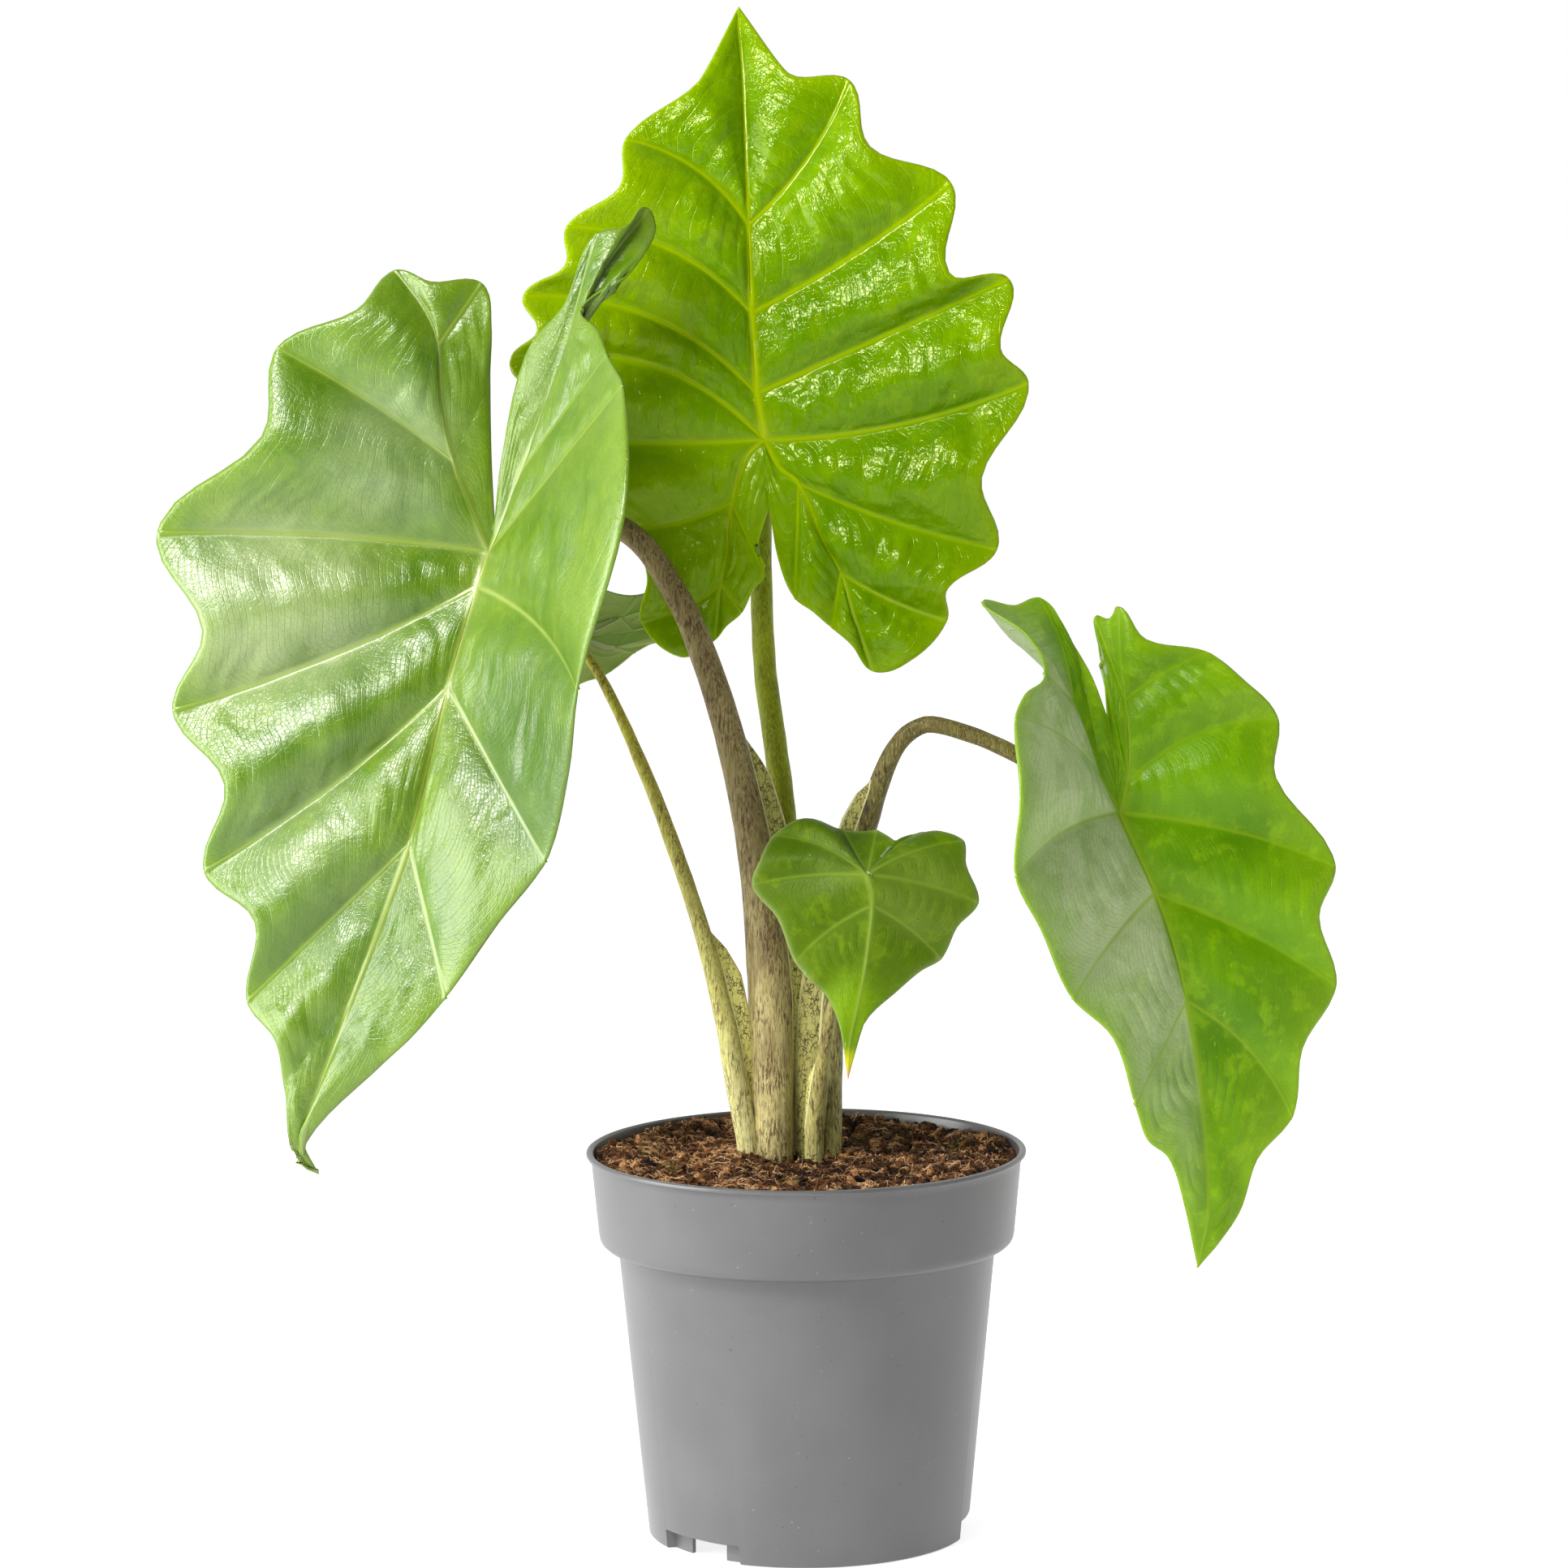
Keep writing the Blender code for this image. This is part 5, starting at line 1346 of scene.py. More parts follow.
LEAVES: Tuple[Leaf, ...] = (
    Leaf(
        name="leaf_top",
        stalk_end=(-16.1, 50.0, 470.7),
        ribs={
            "midrib": (
                ((0, 0, 0), (-3, 20, -1), (-5, 55, 0), (-6, 93, 2), (-7, 127, 7), (-8, 159, 14),
                 (-9.5, 178, 20), (-9.5, 188, 23)), (0, 1, 2, 3)),
            "right": (
                ((0, 0, 0), (6, -11, -1), (15, -19, -3), (24, -41, -5), (33, -58, -5),
                 (39, -78, -4), (47, -101, -2)), (0, 2, 4)),
            "left": (
                ((0, 0, 0), (-8, -8, -1), (-14, -27, -3), (-16, -49, -4), (-19, -62, -4),
                 (-22, -87, -2)), (0, 2, 4)),
        },
        veins=(
            Vein("midrib", TIP, bay=(12, 159, 6)),
            Vein("midrib", 3, tip=(38, 156, 4), bow=-5, bay=(47, 127, -6)),
            Vein("midrib", 2, tip=(82, 111, -6), bow=-3, bay=(81, 72, -17)),
            Vein("midrib", 1, tip=(107, 69, -12), bay=(103, 39, -21)),
            Vein("midrib", 0, tip=(115, 24, -14), bow=-6, bay=(94.5, -17, -22)),
            Vein("right", 1, tip=(101, -48, -10), bow=-3, bay=(79.5, -65, -15)),
            Vein("right", 2, tip=(79, -79, -5), bow=-2, bay=(65, -95, -9)),
            Vein("right", TIP, bay=(38, -90, -6)),
            Vein("right", 2, tip=(29, -82, -5), bay=(21, -75, -7)),
            Vein("right", 1, tip=(13, -69, -4), bay=(5.5, -50, -5)),
            Vein("midrib", 0, tip=(2, -30, -2), bay=(-3, -48, -4), raised=False),
            Vein("left", 1, tip=(0, -59, -4), bay=(-5, -65, -5)),
            Vein("left", 2, tip=(-10, -75, -4), bay=(-17, -81, -4)),
            Vein("left", TIP, bay=(-37, -94, -7)),
            Vein("left", 2, tip=(-54, -78, -7), bow=3, bay=(-51, -59, -12)),
            Vein("left", 1, tip=(-59, -38, -9), bow=3, bay=(-74, -19, -18)),
            Vein("midrib", 0, tip=(-102, 2, -14), bow=2, bay=(-98, 17, -20)),
            Vein("midrib", 0, tip=(-110, 34, -12), bow=-17, bay=(-98, 48, -20)),
            Vein("midrib", 1, tip=(-104, 63, -12), bow=-13, bay=(-86, 76, -17)),
            Vein("midrib", 2, tip=(-85, 93, -6), bow=-10, bay=(-62, 110, -9)),
            Vein("midrib", 3, tip=(-59, 131, 2), bow=-7, bay=(-27, 156, 6)),
        ),
        slot="leaf_bright", finish=BRIGHT, swell=4.6, rib_depth=2.2, rib_width=1.4, pucker=1.1,
        rows=96, columns=22, lace=8.5, lace_depth=0.6, seed=1.0),
    Leaf(
        name="leaf_left",
        stalk_end=(-134.1, 10.0, 426.7),
        ribs={
            "midrib": (
                ((0, 0, 0), (-5, -15, -5), (-18, -58, -13), (-26, -91, -18), (-35, -125, -22),
                 (-50, -166, -25), (-59, -189, -26), (-75.5, -232, -24), (-82.8, -257, -21),
                 (-81, -263, -20), (-74.5, -266, -19)), (0, 1, 2, 4, 6)),
            "left": (
                ((0, 0, 0), (-6, 15, -2), (-15, 39, -5), (-20, 66, -7), (-21, 88, -7),
                 (-26, 103, -5), (-39, 121, 0)), (0, 2, 4)),
            "right": (
                ((0, 0, 0), (6, 12, -4), (14, 34, -9), (24, 58, -13), (31, 78, -16),
                 (38, 96, -18), (49, 120, -15), (60, 135, -9), (70, 146, 0)), (0, 2, 4)),
        },
        veins=(
            Vein("midrib", TIP, bay=(-85.4, -255, -21)),
            Vein("midrib", 4, tip=(-89.4, -229, -21), bay=(-93, -209, -26), faint=True),
            Vein("midrib", 3, tip=(-105, -192, -16), bay=(-101.5, -158, -22)),
            Vein("midrib", 2, tip=(-123, -136, -9), bow=4, bay=(-114, -99, -17)),
            Vein("midrib", 1, tip=(-136, -67, -3), bow=4, bay=(-123, -33, -12)),
            Vein("midrib", 0, tip=(-142, 9, 0), bow=-3, bay=(-97, 50, -13)),
            Vein("left", 1, tip=(-90, 88, -4), bow=-2, bay=(-56, 104, -10)),
            Vein("left", TIP, bay=(-24, 116, -5)),
            Vein("left", 2, tip=(-2, 115, -2), bay=(2, 97, -5)),
            Vein("left", 1, tip=(1.5, 74, -1), bay=(1.6, 44, -1), faint=True),
            Vein("midrib", 0, tip=(2.8, 13, 0), bay=(5.2, 38, -5), raised=False),
            Vein("right", 1, tip=(18, 88, -7), bay=(33, 106, -12), faint=True),
            Vein("right", 2, tip=(47, 136, -12), bay=(60, 139, -13)),
            Vein("right", TIP, bay=(63, 121, -20)),
            Vein("right", 2, tip=(40, 104, -24), bay=(47, 95, -37)),
            Vein("right", 1, tip=(51, 84, -50), bay=(54.5, 77.5, -62)),
            Vein("midrib", 0, tip=(57.5, 71, -74), bay=(57.5, 14, -112)),
            Vein("midrib", 1, tip=(37, -59, -96), bow=7, bay=(33, -95, -82)),
            Vein("midrib", 2, tip=(23, -133, -62), bay=(3, -159, -52)),
            Vein("midrib", 3, tip=(-20, -191, -42), bay=(-34, -207, -40)),
            Vein("midrib", 4, tip=(-48, -220, -33), bay=(-80.4, -253.5, -22), faint=True),
        ),
        slot="leaf_green", finish=HAZY, swell=7.0, rib_depth=2.2, rib_width=1.4, pucker=0.80,
        rows=88, columns=20, lace=8.0, lace_depth=0.25, seed=2.0),
    Leaf(
        name="leaf_right",
        stalk_end=(134.2, -20.0, 315.9),
        ribs={
            "midrib": (
                ((0, 0, 0), (5, -12, -1), (15, -34, -2), (22, -56, -3), (28, -80, -3),
                 (34, -120, 0), (37, -166, 5), (34, -186, 8), (32, -194, 9)), (0, 2, 4, 5)),
            "left": (
                ((0, 0, 0), (-7, 14, -4), (-12, 27, -7), (-19, 47, -11), (-28, 60, -14),
                 (-38, 70, -16), (-46, 77, -18), (-57, 91, -20)), (0, 1, 3)),
            "right": (
                ((0, 0, 0), (3.5, 13, 0), (4, 30, 0), (3, 48, 0), (1, 66, 1), (0, 88, 2)),
                (0, 1, 3)),
        },
        veins=(
            Vein("midrib", TIP, bay=(27, -169, 3)),
            Vein("midrib", 3, tip=(20, -147, -7), bay=(11, -139, -14), faint=True),
            Vein("midrib", 2, tip=(6, -124, -17), bay=(-3, -96, -29)),
            Vein("midrib", 1, tip=(-20, -79, -37), bow=-2, bay=(-33, -50, -54)),
            Vein("midrib", 0, tip=(-43.5, -27, -68), bow=-6, bay=(-41.5, 6, -76)),
            Vein("left", 1, tip=(-43.5, 41, -58), bow=-5, bay=(-39.5, 51, -47)),
            Vein("left", 2, tip=(-31, 60, -30), bay=(-39, 77, -30)),
            Vein("left", TIP, bay=(-44, 89, -12)),
            Vein("left", 2, tip=(-33, 92, -5), bow=-3, bay=(-25, 84, -6)),
            Vein("left", 1, tip=(-18, 71, -3), bay=(-10, 56, -3), faint=True),
            Vein("midrib", 0, tip=(-4, 40, 0), bay=(-5.2, 52, 3), raised=False),
            Vein("right", 1, tip=(-7, 63, 4), bay=(-8.5, 73, 6)),
            Vein("right", 2, tip=(-9.5, 84, 7), bay=(-4, 83, 6)),
            Vein("right", TIP, bay=(12, 74, -1)),
            Vein("right", 2, tip=(39, 68, 4), bow=2, bay=(54, 56, 0)),
            Vein("right", 1, tip=(68, 40, 8), bow=7, bay=(67, 14.5, 2)),
            Vein("midrib", 0, tip=(92, -23, 12), bow=4, bay=(85, -45, 5)),
            Vein("midrib", 1, tip=(92, -74, 14), bow=3, bay=(77.5, -101, 7)),
            Vein("midrib", 2, tip=(73, -130, 14), bow=6, bay=(58, -148, 8)),
            Vein("midrib", 3, tip=(50, -171, 12), bow=3, bay=(41, -184, 9), faint=True),
        ),
        slot="leaf_green", finish=LUSH, swell=4.0, rib_depth=2.0, rib_width=1.5, pucker=0.5,
        rows=80, columns=20, lace=7.0, lace_depth=0.6, seed=3.0,
        # Shares of painted sheen at each vein, strongest on the left half.
        painted_sheen_by_vein=(0.0, 0.35, 0.72, 0.88, 0.95, 1.0, 0.9, 0.7)),
    Leaf(
        name="leaf_front",
        stalk_end=(26.7, -38.0, 292.8),
        ribs={
            "midrib": (
                ((0, 0, 0), (2, -13, 0), (-1, -38, 1), (-5, -58, 3), (-8, -72, 5),
                 (-9, -87, 7)), (0, 1, 2)),
        },
        veins=(
            Vein("midrib", TIP, bay=(-12, -66, 5)),
            Vein("midrib", 2, tip=(-19, -50, 8), bow=-1, bay=(-24.5, -45, 7), faint=True),
            Vein("midrib", 1, tip=(-31, -37, 8), bow=-2.5, bay=(-38.6, -18, 8)),
            Vein("midrib", 0, tip=(-49, -4, 12), bow=-2, bay=(-46, 6, 10)),
            Vein("midrib", 0, tip=(-40, 17, 17), bow=-4, bay=(-27, 24.5, 19)),
            Vein("midrib", 0, tip=(-10, 19.5, 24), bay=(-4, 18.8, 24)),
            Vein("midrib", 0, tip=(4, 19, 21), bay=(7.5, 17.5, 18)),
            Vein("midrib", 0, tip=(12, 14.5, 14), bay=(16, 16.5, 17), raised=False),
            Vein("midrib", 0, tip=(23, 18, 20), bow=2, bay=(32, 18.5, 17)),
            Vein("midrib", 0, tip=(41, 14, 14), bow=3, bay=(42, 4, 11)),
            Vein("midrib", 0, tip=(47, -12, 11), bow=2, bay=(38, -22.5, 8)),
            Vein("midrib", 1, tip=(31, -36, 9), bow=2, bay=(22.5, -41, 6)),
            Vein("midrib", 2, tip=(13, -49, 7), bow=1, bay=(-2, -63.5, 4), faint=True),
        ),
        slot="leaf_dark", finish=DEEP, swell=1.7, rib_depth=1.2, rib_width=0.9, pucker=0.25,
        lace=5.0, lace_depth=0.28, rows=56, columns=18, seed=4.0),
    Leaf(
        name="leaf_rear",
        stalk_end=(-101.0, 46.0, 387.0),
        faces_eye=False,
        ribs={
            "midrib": (
                ((0, 0, 0), (-7, -9, 3), (-16, -22, 7), (-24, -35, 11), (-40, -60, 19),
                 (-62, -98, 30)), (0, 1, 3, 4)),
            "lower": (((0, 0, 0), (10, -4, 3), (20, -6, 7), (41, -1, 15)), (0, 2)),
            "upper": (((0, 0, 0), (12, 3, 3), (22, 7, 7), (48, 15, 17)), (0, 2)),
        },
        veins=(
            Vein("midrib", TIP, bay=(-44, -90, 26)),
            Vein("midrib", 3, tip=(-32, -78, 24), bay=(-27, -64, 20)),
            Vein("midrib", 2, tip=(-14, -52, 16), bay=(-8, -38, 11)),
            Vein("midrib", 1, tip=(-1, -25, 7), bay=(6, -21, 5)),
            Vein("midrib", 0, tip=(14, -18.5, 6), bay=(21, -14, 8)),
            Vein("lower", 1, tip=(28, -8.5, 11), bay=(34, -5, 13)),
            Vein("lower", TIP, bay=(36, 2.5, 17)),
            Vein("lower", 1, tip=(27, 3, 15), bay=(18, 2, 11)),
            Vein("midrib", 0, tip=(9, 0.6, 4), bay=(18, 0.3, 6), raised=False),
            Vein("upper", 1, tip=(27, 1, 8.5), bay=(37, 4, 12)),
            Vein("upper", TIP, bay=(40, 20, 14)),
            Vein("upper", 1, tip=(29, 17, 8), bay=(21, 17.5, 5)),
            Vein("midrib", 0, tip=(10, 21, 5), bay=(-4, 23, 6)),
            Vein("midrib", 1, tip=(-22, 20, 9), bay=(-34, 10, 13)),
            Vein("midrib", 2, tip=(-50, -6, 18), bay=(-56, -22, 22)),
            Vein("midrib", 3, tip=(-62, -42, 26), bay=(-64, -68, 29)),
        ),
        slot="leaf_dark", finish=REAR, swell=2.4, rib_depth=1.4, rib_width=1.2, pucker=0.25,
        lace=6.0, lace_depth=0.3, rows=56, columns=18, seed=5.0),
)

STALKS: Tuple[Stalk, ...] = (
    Stalk(
        name="petiole_top",
        stations=(
            (0, 13, 150, 7.5), (0, 13, 172, 7.5), (-3, 16, 215, 7.0), (-7, 21, 260, 6.0),
            (-8.5, 27, 308, 5.3), (-12, 35, 339, 5.1), (-16, 44, 368, 5.0), (-17.5, 54, 400, 4.8),
            (-17.5, 60, 430, 4.6), (-16.7, 61, 455, 4.4), (-16.2, 58.5, 466, 4.1),
            (-16.1, 53.4, 470.7, 3.7)),
        seat=(0, -1, 0),
        wing_side=(0.95, -0.3, 0),
        wing=((290, 0), (275, 5), (250, 8), (215, 6), (190, 3), (172, 0)),
        slot="stalk_green", finish=STALK_TOP, seed=11.0),
    Stalk(
        name="petiole_left",
        stations=(
            (-13.8, -3.4, 150, 8.3), (-13.8, -3.4, 172, 8.4), (-14.6, -0.5, 205, 9.2),
            (-15.4, 1, 240, 9.4), (-20, 3, 288, 7.7), (-27, 6, 327, 6.8), (-36, 10, 362, 6.2),
            (-48, 14, 395, 5.6), (-57, 16, 412, 5.3), (-67, 18.5, 427, 5.1),
            (-79, 21, 436, 5.0), (-96, 22.5, 439, 4.9), (-114, 22, 436, 4.7),
            (-128, 19.5, 429.5, 4.4), (-133.6, 11.9, 426.8, 4.0)),
        seat=(0, -1, 0),
        wing_side=(0.93, 0.37, 0),
        wing=((345, 0), (337, 3), (328, 6), (308, 7.7), (280, 7.5), (242, 5), (205, 1), (178, 0)),
        slot="stalk_brown", finish=STALK_LEFT, seed=12.0),
    Stalk(
        name="petiole_right",
        stations=(
            (9.5, 1, 150, 6.0), (9.5, 1, 172, 6.0), (10.5, 2.5, 215, 6.0),
            (13.5, 4, 245, 6.0), (21.5, 5, 290, 5.7), (27, 3, 310, 5.2), (34, -0.5, 331, 4.3),
            (40.5, -3, 344, 3.9), (48, -5, 351, 3.7), (57, -6.2, 352.6, 3.6),
            (77, -8, 346.4, 3.5), (96, -9, 337, 3.5), (116, -9.6, 325.5, 3.5),
            (129, -11.5, 318, 3.5), (134, -17.7, 316, 3.1)),
        seat=(0, -1, 0),
        wing_side=(-0.95, -0.3, 0),
        wing=((326, 0), (319, 3.5), (308, 5), (285, 5), (255, 6.5), (235, 8.5), (205, 9), (185, 8.5),
              (150, 8)),
        slot="stalk_brown", finish=STALK_RIGHT, seed=13.0),
    Stalk(
        name="petiole_front",
        stations=(
            (3.4, -8, 150, 4.2), (3.4, -8, 172, 4.2), (5.4, -11, 195, 4.1),
            (8, -14.5, 213, 2.8), (11, -18.5, 231, 2.3), (16.5, -23, 251, 2.2),
            (22, -27, 270, 2.2), (25.6, -29, 283, 2.2), (26.5, -30.6, 288.3, 2.0),
            (26.7, -35.4, 291.2, 1.7)),
        seat=(0, -1, 0),
        wing_side=(-1, 0, 0),
        wing=((207, 0), (200, 1.5), (188, 1), (175, 0)),
        slot="stalk_green", finish=STALK_FRONT, seed=14.0),
    Stalk(
        name="petiole_rear",
        stations=(
            (-25.0, -3, 150, 5.2), (-25.0, -3, 172, 5.2), (-30.0, -4.4, 198, 4.9),
            (-34, -4.3, 222, 4.4), (-43.8, 0, 262, 3.7), (-59, 9.5, 307, 3.2),
            (-70, 17, 334, 2.8), (-79, 24, 354, 2.4), (-88, 31, 371, 2.1),
            (-95, 36, 380.5, 2.0), (-99.4, 39.4, 385.2, 2.0), (-101, 44.4, 386.7, 1.8)),
        seat=(0, 1, 0),
        wing_side=(0.9, 0.45, 0),
        wing=((262, 0), (254, 4), (242, 7), (225, 6.5), (205, 4), (185, 1.5), (174, 0)),
        slot="stalk_green", finish=STALK_REAR, seed=15.0),
)


@dataclass(frozen=True)
class PotPlastic:
    """The look of the pot's grey plastic: fine grain, faint scuffs and a little dust."""

    grey: Colour = tone(92, 91, 91)
    cloudy: Colour = tone(101, 100, 100)
    scuffed: Colour = tone(134, 132, 129)
    dust: Colour = tone(150, 148, 144)
    pit: Colour = tone(48, 44, 42)
    roughness: float = 0.31
    gloss: float = 0.75

    def material(self) -> bpy.types.Material:
        """Lay the look down as nodes.

        Returns:
            The material.
        """
        sheet = NodeSheet("grey_pot_plastic")
        cloud = sheet.step(sheet.grain(0.05), 0.3, 0.7)
        scuff = sheet.streaks(0.006, 5.0, 0.25, 0.62, 0.80, 0.7)
        pale = sheet.step(sheet.grain(0.0011, 0.0), 0.86, 0.88)
        dark = sheet.step(sheet.grain(0.0012, 0.0), 0.16, 0.13)
        colour = sheet.layered(self.grey, (
            (self.cloudy, cloud, 1.0), (self.scuffed, scuff, 0.25), (self.dust, pale, 0.7),
            (self.pit, dark, 0.8)))
        rings = sheet.grain(0.004, 2.0, sheet.stretched((0.05, 0.05, 1.0)))
        height = sheet.total(((sheet.grain(0.0006, 2.0), 0.5), (rings, 0.6)))
        rough = sheet.sums("ADD", self.roughness, sheet.total(((cloud, 0.07), (scuff, 0.12))))
        sheet.fix({"Specular IOR Level": self.gloss})
        return sheet.finish(colour, rough, sheet.bump(height, 0.00010, 0.4))


@dataclass
class Pot:
    """The grower's pot: rim, collar, tapered body, foot ring and drained floor."""

    height: float = 168.0
    rim_r: float = 95.0
    wall: float = 1.7
    collar_top_r: float = 92.7
    collar_low_r: float = 89.9
    collar_low_z: float = 127.2
    body_top_r: float = 81.5
    body_low_r: float = 70.2
    foot_r: float = 67.3
    foot_height: float = 8.0
    foot_wall: float = 2.0
    well_r: float = 31.0
    floor: float = 1.8
    floor_rise: float = 7.6
    sides: int = 180
    recesses: Tuple[Tuple[float, float], ...] = ((-151.0, -115.5), (-20.0, 16.0), (32.0, 67.5))
    recess_r: float = 65.6
    notch_turns: Tuple[float, ...] = (-131.0, 50.0)
    notch_width: float = 19.5
    notch_height: float = 6.6
    drains: int = 8
    drain_r: float = 3.5
    drain_circle_r: float = 49.0

    def profile(self) -> List[Tuple[float, float]]:
        """Return the section, from the floor inside, over the rim, to the underside."""
        return self.inside() + self.rim() + self.outside() + self.underside()

    def inside(self) -> List[Tuple[float, float]]:
        """Return the section's inside, from the middle of the floor up to the rim.

        Returns:
            Radii and heights.
        """
        low, top = self.body_low_r - self.wall, self.body_top_r - self.wall
        collar, step = self.collar_low_r - self.wall, self.collar_low_z
        floor_top = self.floor_rise + self.floor
        return [
            (0, self.floor), (self.well_r, self.floor), (self.well_r + 3, floor_top),
            (low - 2.0, floor_top), (low, floor_top + 2.5), (top, step - 0.8), (top + 0.5, step + 1.8),
            (collar - 1.2, step + 3.0), (collar - 0.2, step + 5.0),
            (self.collar_top_r - self.wall, self.height - 5.0), (self.rim_r - 2.9, self.height - 0.8)]

    def rim(self) -> List[Tuple[float, float]]:
        """Return the section's rounded rim.

        Returns:
            Radii and heights.
        """
        radius, top = self.rim_r, self.height
        return [
            (radius - 2.3, top - 0.2), (radius - 1.7, top), (radius - 0.8, top - 0.1),
            (radius - 0.2, top - 0.5), (radius, top - 1.0), (radius - 0.05, top - 1.7),
            (radius - 0.4, top - 2.1), (radius - 1.1, top - 2.3), (radius - 1.7, top - 2.6),
            (self.collar_top_r + 0.2, top - 3.4)]

    def outside(self) -> List[Tuple[float, float]]:
        """Return the section's outside, from the collar down to the foot.

        Returns:
            Radii and heights.
        """
        collar, step, foot = self.collar_low_r, self.collar_low_z, self.foot_height
        return [
            (self.collar_top_r, self.height - 5.6), (collar, step + 5.2), (collar - 0.3, step + 3.2),
            (collar - 1.0, step + 1.7), (collar - 2.2, step + 0.6), (collar - 4.0, step),
            (self.body_top_r + 1.2, step - 0.1), (self.body_top_r + 0.3, step - 0.6),
            (self.body_top_r, step - 1.6), (self.body_low_r, foot + 0.9),
            (self.body_low_r - 0.3, foot + 0.2), (self.body_low_r - 0.9, foot),
            (self.foot_r + 0.5, foot - 0.2), (self.foot_r + 0.1, foot - 0.8), (self.foot_r, 0.5),
            (self.foot_r - 0.4, 0)]

    def underside(self) -> List[Tuple[float, float]]:
        """Return the section's underside, from the foot in to the middle.

        Returns:
            Radii and heights.
        """
        foot, well, rise = self.foot_r - self.foot_wall, self.well_r, self.floor_rise
        return [
            (foot, 0), (foot, rise - 0.6), (foot - 0.6, rise), (well + 4.4, rise),
            (well + 3.6, rise - 0.6), (well + 1, 0.4), (well + 0.4, 0), (0, 0)]

    def build(self) -> bpy.types.Object:
        """Turn the pot, cut its notches and drains and finish it.

        Returns:
            The pot.
        """
        section = np.array(self.profile(), dtype=float)
        corners = np.radians([turn + step for pair in self.recesses for turn in pair for step in (-0.4, 0.4)])
        turns = np.unique(np.concatenate([np.linspace(0, math.tau, self.sides + 1), corners % math.tau]))
        reach = self.footed(section, turns)
        grid = np.zeros((len(section), len(turns), 3))
        grid[..., 0] = reach * np.cos(turns)
        grid[..., 1] = reach * np.sin(turns)
        grid[..., 2] = section[:, 1:]
        grid[:, -1] = grid[:, 0]
        grid = grid[:, ::-1]
        pot = wrapped_grid("pot_shell", grid, {})
        self.cut(pot, self.drain_cutter())
        self.cut(pot, self.notch_cutter())
        deselect()
        pot.select_set(True)
        bpy.context.view_layer.objects.active = pot
        bpy.ops.object.shade_smooth_by_angle(angle=math.radians(30))
        pot.data.materials.clear()
        pot.data.materials.append(PotPlastic().material())
        dress(pot, ("pot",))
        return pot

    def footed(self, section: Array, turns: Array) -> Array:
        """Return the section's radii at each turn, with the foot's wall in line but for its recesses.

        Args:
            section: The section's radii and heights.
            turns: The turns, in radians.

        Returns:
            One row of radii for each point of the section.
        """
        reach = np.repeat(section[:, :1], len(turns), axis=1)
        degrees = (np.degrees(turns) + 180) % 360 - 180
        inside = np.zeros(len(turns), dtype=bool)
        for low, high in self.recesses:
            inside |= (degrees > low) & (degrees < high)
        slope = (self.body_top_r - self.body_low_r) / (self.collar_low_z - self.foot_height)
        foot = (section[:, 1] < self.foot_height + 0.5) & (section[:, 0] > self.foot_r - self.foot_wall - 1.0)
        for row in np.nonzero(foot)[0]:
            radius, height = section[row]
            wall = self.foot_wall if radius < self.foot_r - 1.0 else 0.0
            flush = self.body_low_r - slope * (self.foot_height + 0.9 - height)
            flush = flush - (0.4 if height == 0 else 0.0)
            if radius > self.foot_r + 0.6:
                reach[row] = np.where(inside, radius, flush)
            else:
                reach[row] = np.where(inside, self.recess_r, flush) - wall
        return reach

    def drain_cutter(self) -> bpy.types.Object:
        """Return the drain holes as one cutter.

        Returns:
            The cutter.
        """
        deselect()
        made = []
        for index in range(self.drains):
            turn = math.tau * (index + 0.5) / self.drains
            spot = (self.drain_circle_r * math.cos(turn) * MM, self.drain_circle_r * math.sin(turn) * MM,
                    (self.floor_rise + 1) * MM)
            bpy.ops.mesh.primitive_cylinder_add(
                vertices=28, radius=self.drain_r * MM, depth=6 * MM, location=spot)
            made.append(bpy.context.object)
        return self.joined(made)

    def notch_cutter(self) -> bpy.types.Object:
        """Return the foot's notches as one cutter.

        Returns:
            The cutter.
        """
        deselect()
        made = []
        for degrees in self.notch_turns:
            turn = math.radians(degrees)
            reach = (self.foot_r - self.foot_wall / 2) * MM
            bpy.ops.mesh.primitive_cube_add(
                size=1.0, location=(reach * math.cos(turn), reach * math.sin(turn), 0),
                rotation=(0, 0, turn))
            cube = bpy.context.object
            cube.scale = (8 * MM, self.notch_width * MM, 2 * self.notch_height * MM)
            made.append(cube)
        return self.joined(made)

    @staticmethod
    def joined(made: Sequence[bpy.types.Object]) -> bpy.types.Object:
        """Join objects into one, with its place in its mesh.

        Args:
            made: The objects.

        Returns:
            The joined object.
        """
        deselect()
        for item in made:
            item.select_set(True)
        bpy.context.view_layer.objects.active = made[0]
        bpy.ops.object.transform_apply(location=True, rotation=True, scale=True)
        bpy.ops.object.join()
        return bpy.context.object

    @staticmethod
    def cut(item: bpy.types.Object, cutter: bpy.types.Object) -> None:
        """Cut a cutter out of an object and remove it.

        Args:
            item: The object.
            cutter: The cutter.
        """
        knife = item.modifiers.new("cut", "BOOLEAN")
        knife.operation = "DIFFERENCE"
        knife.solver = "EXACT"
        knife.object = cutter
        apply_modifier(item, "cut")
        bpy.data.objects.remove(cutter, do_unlink=True)


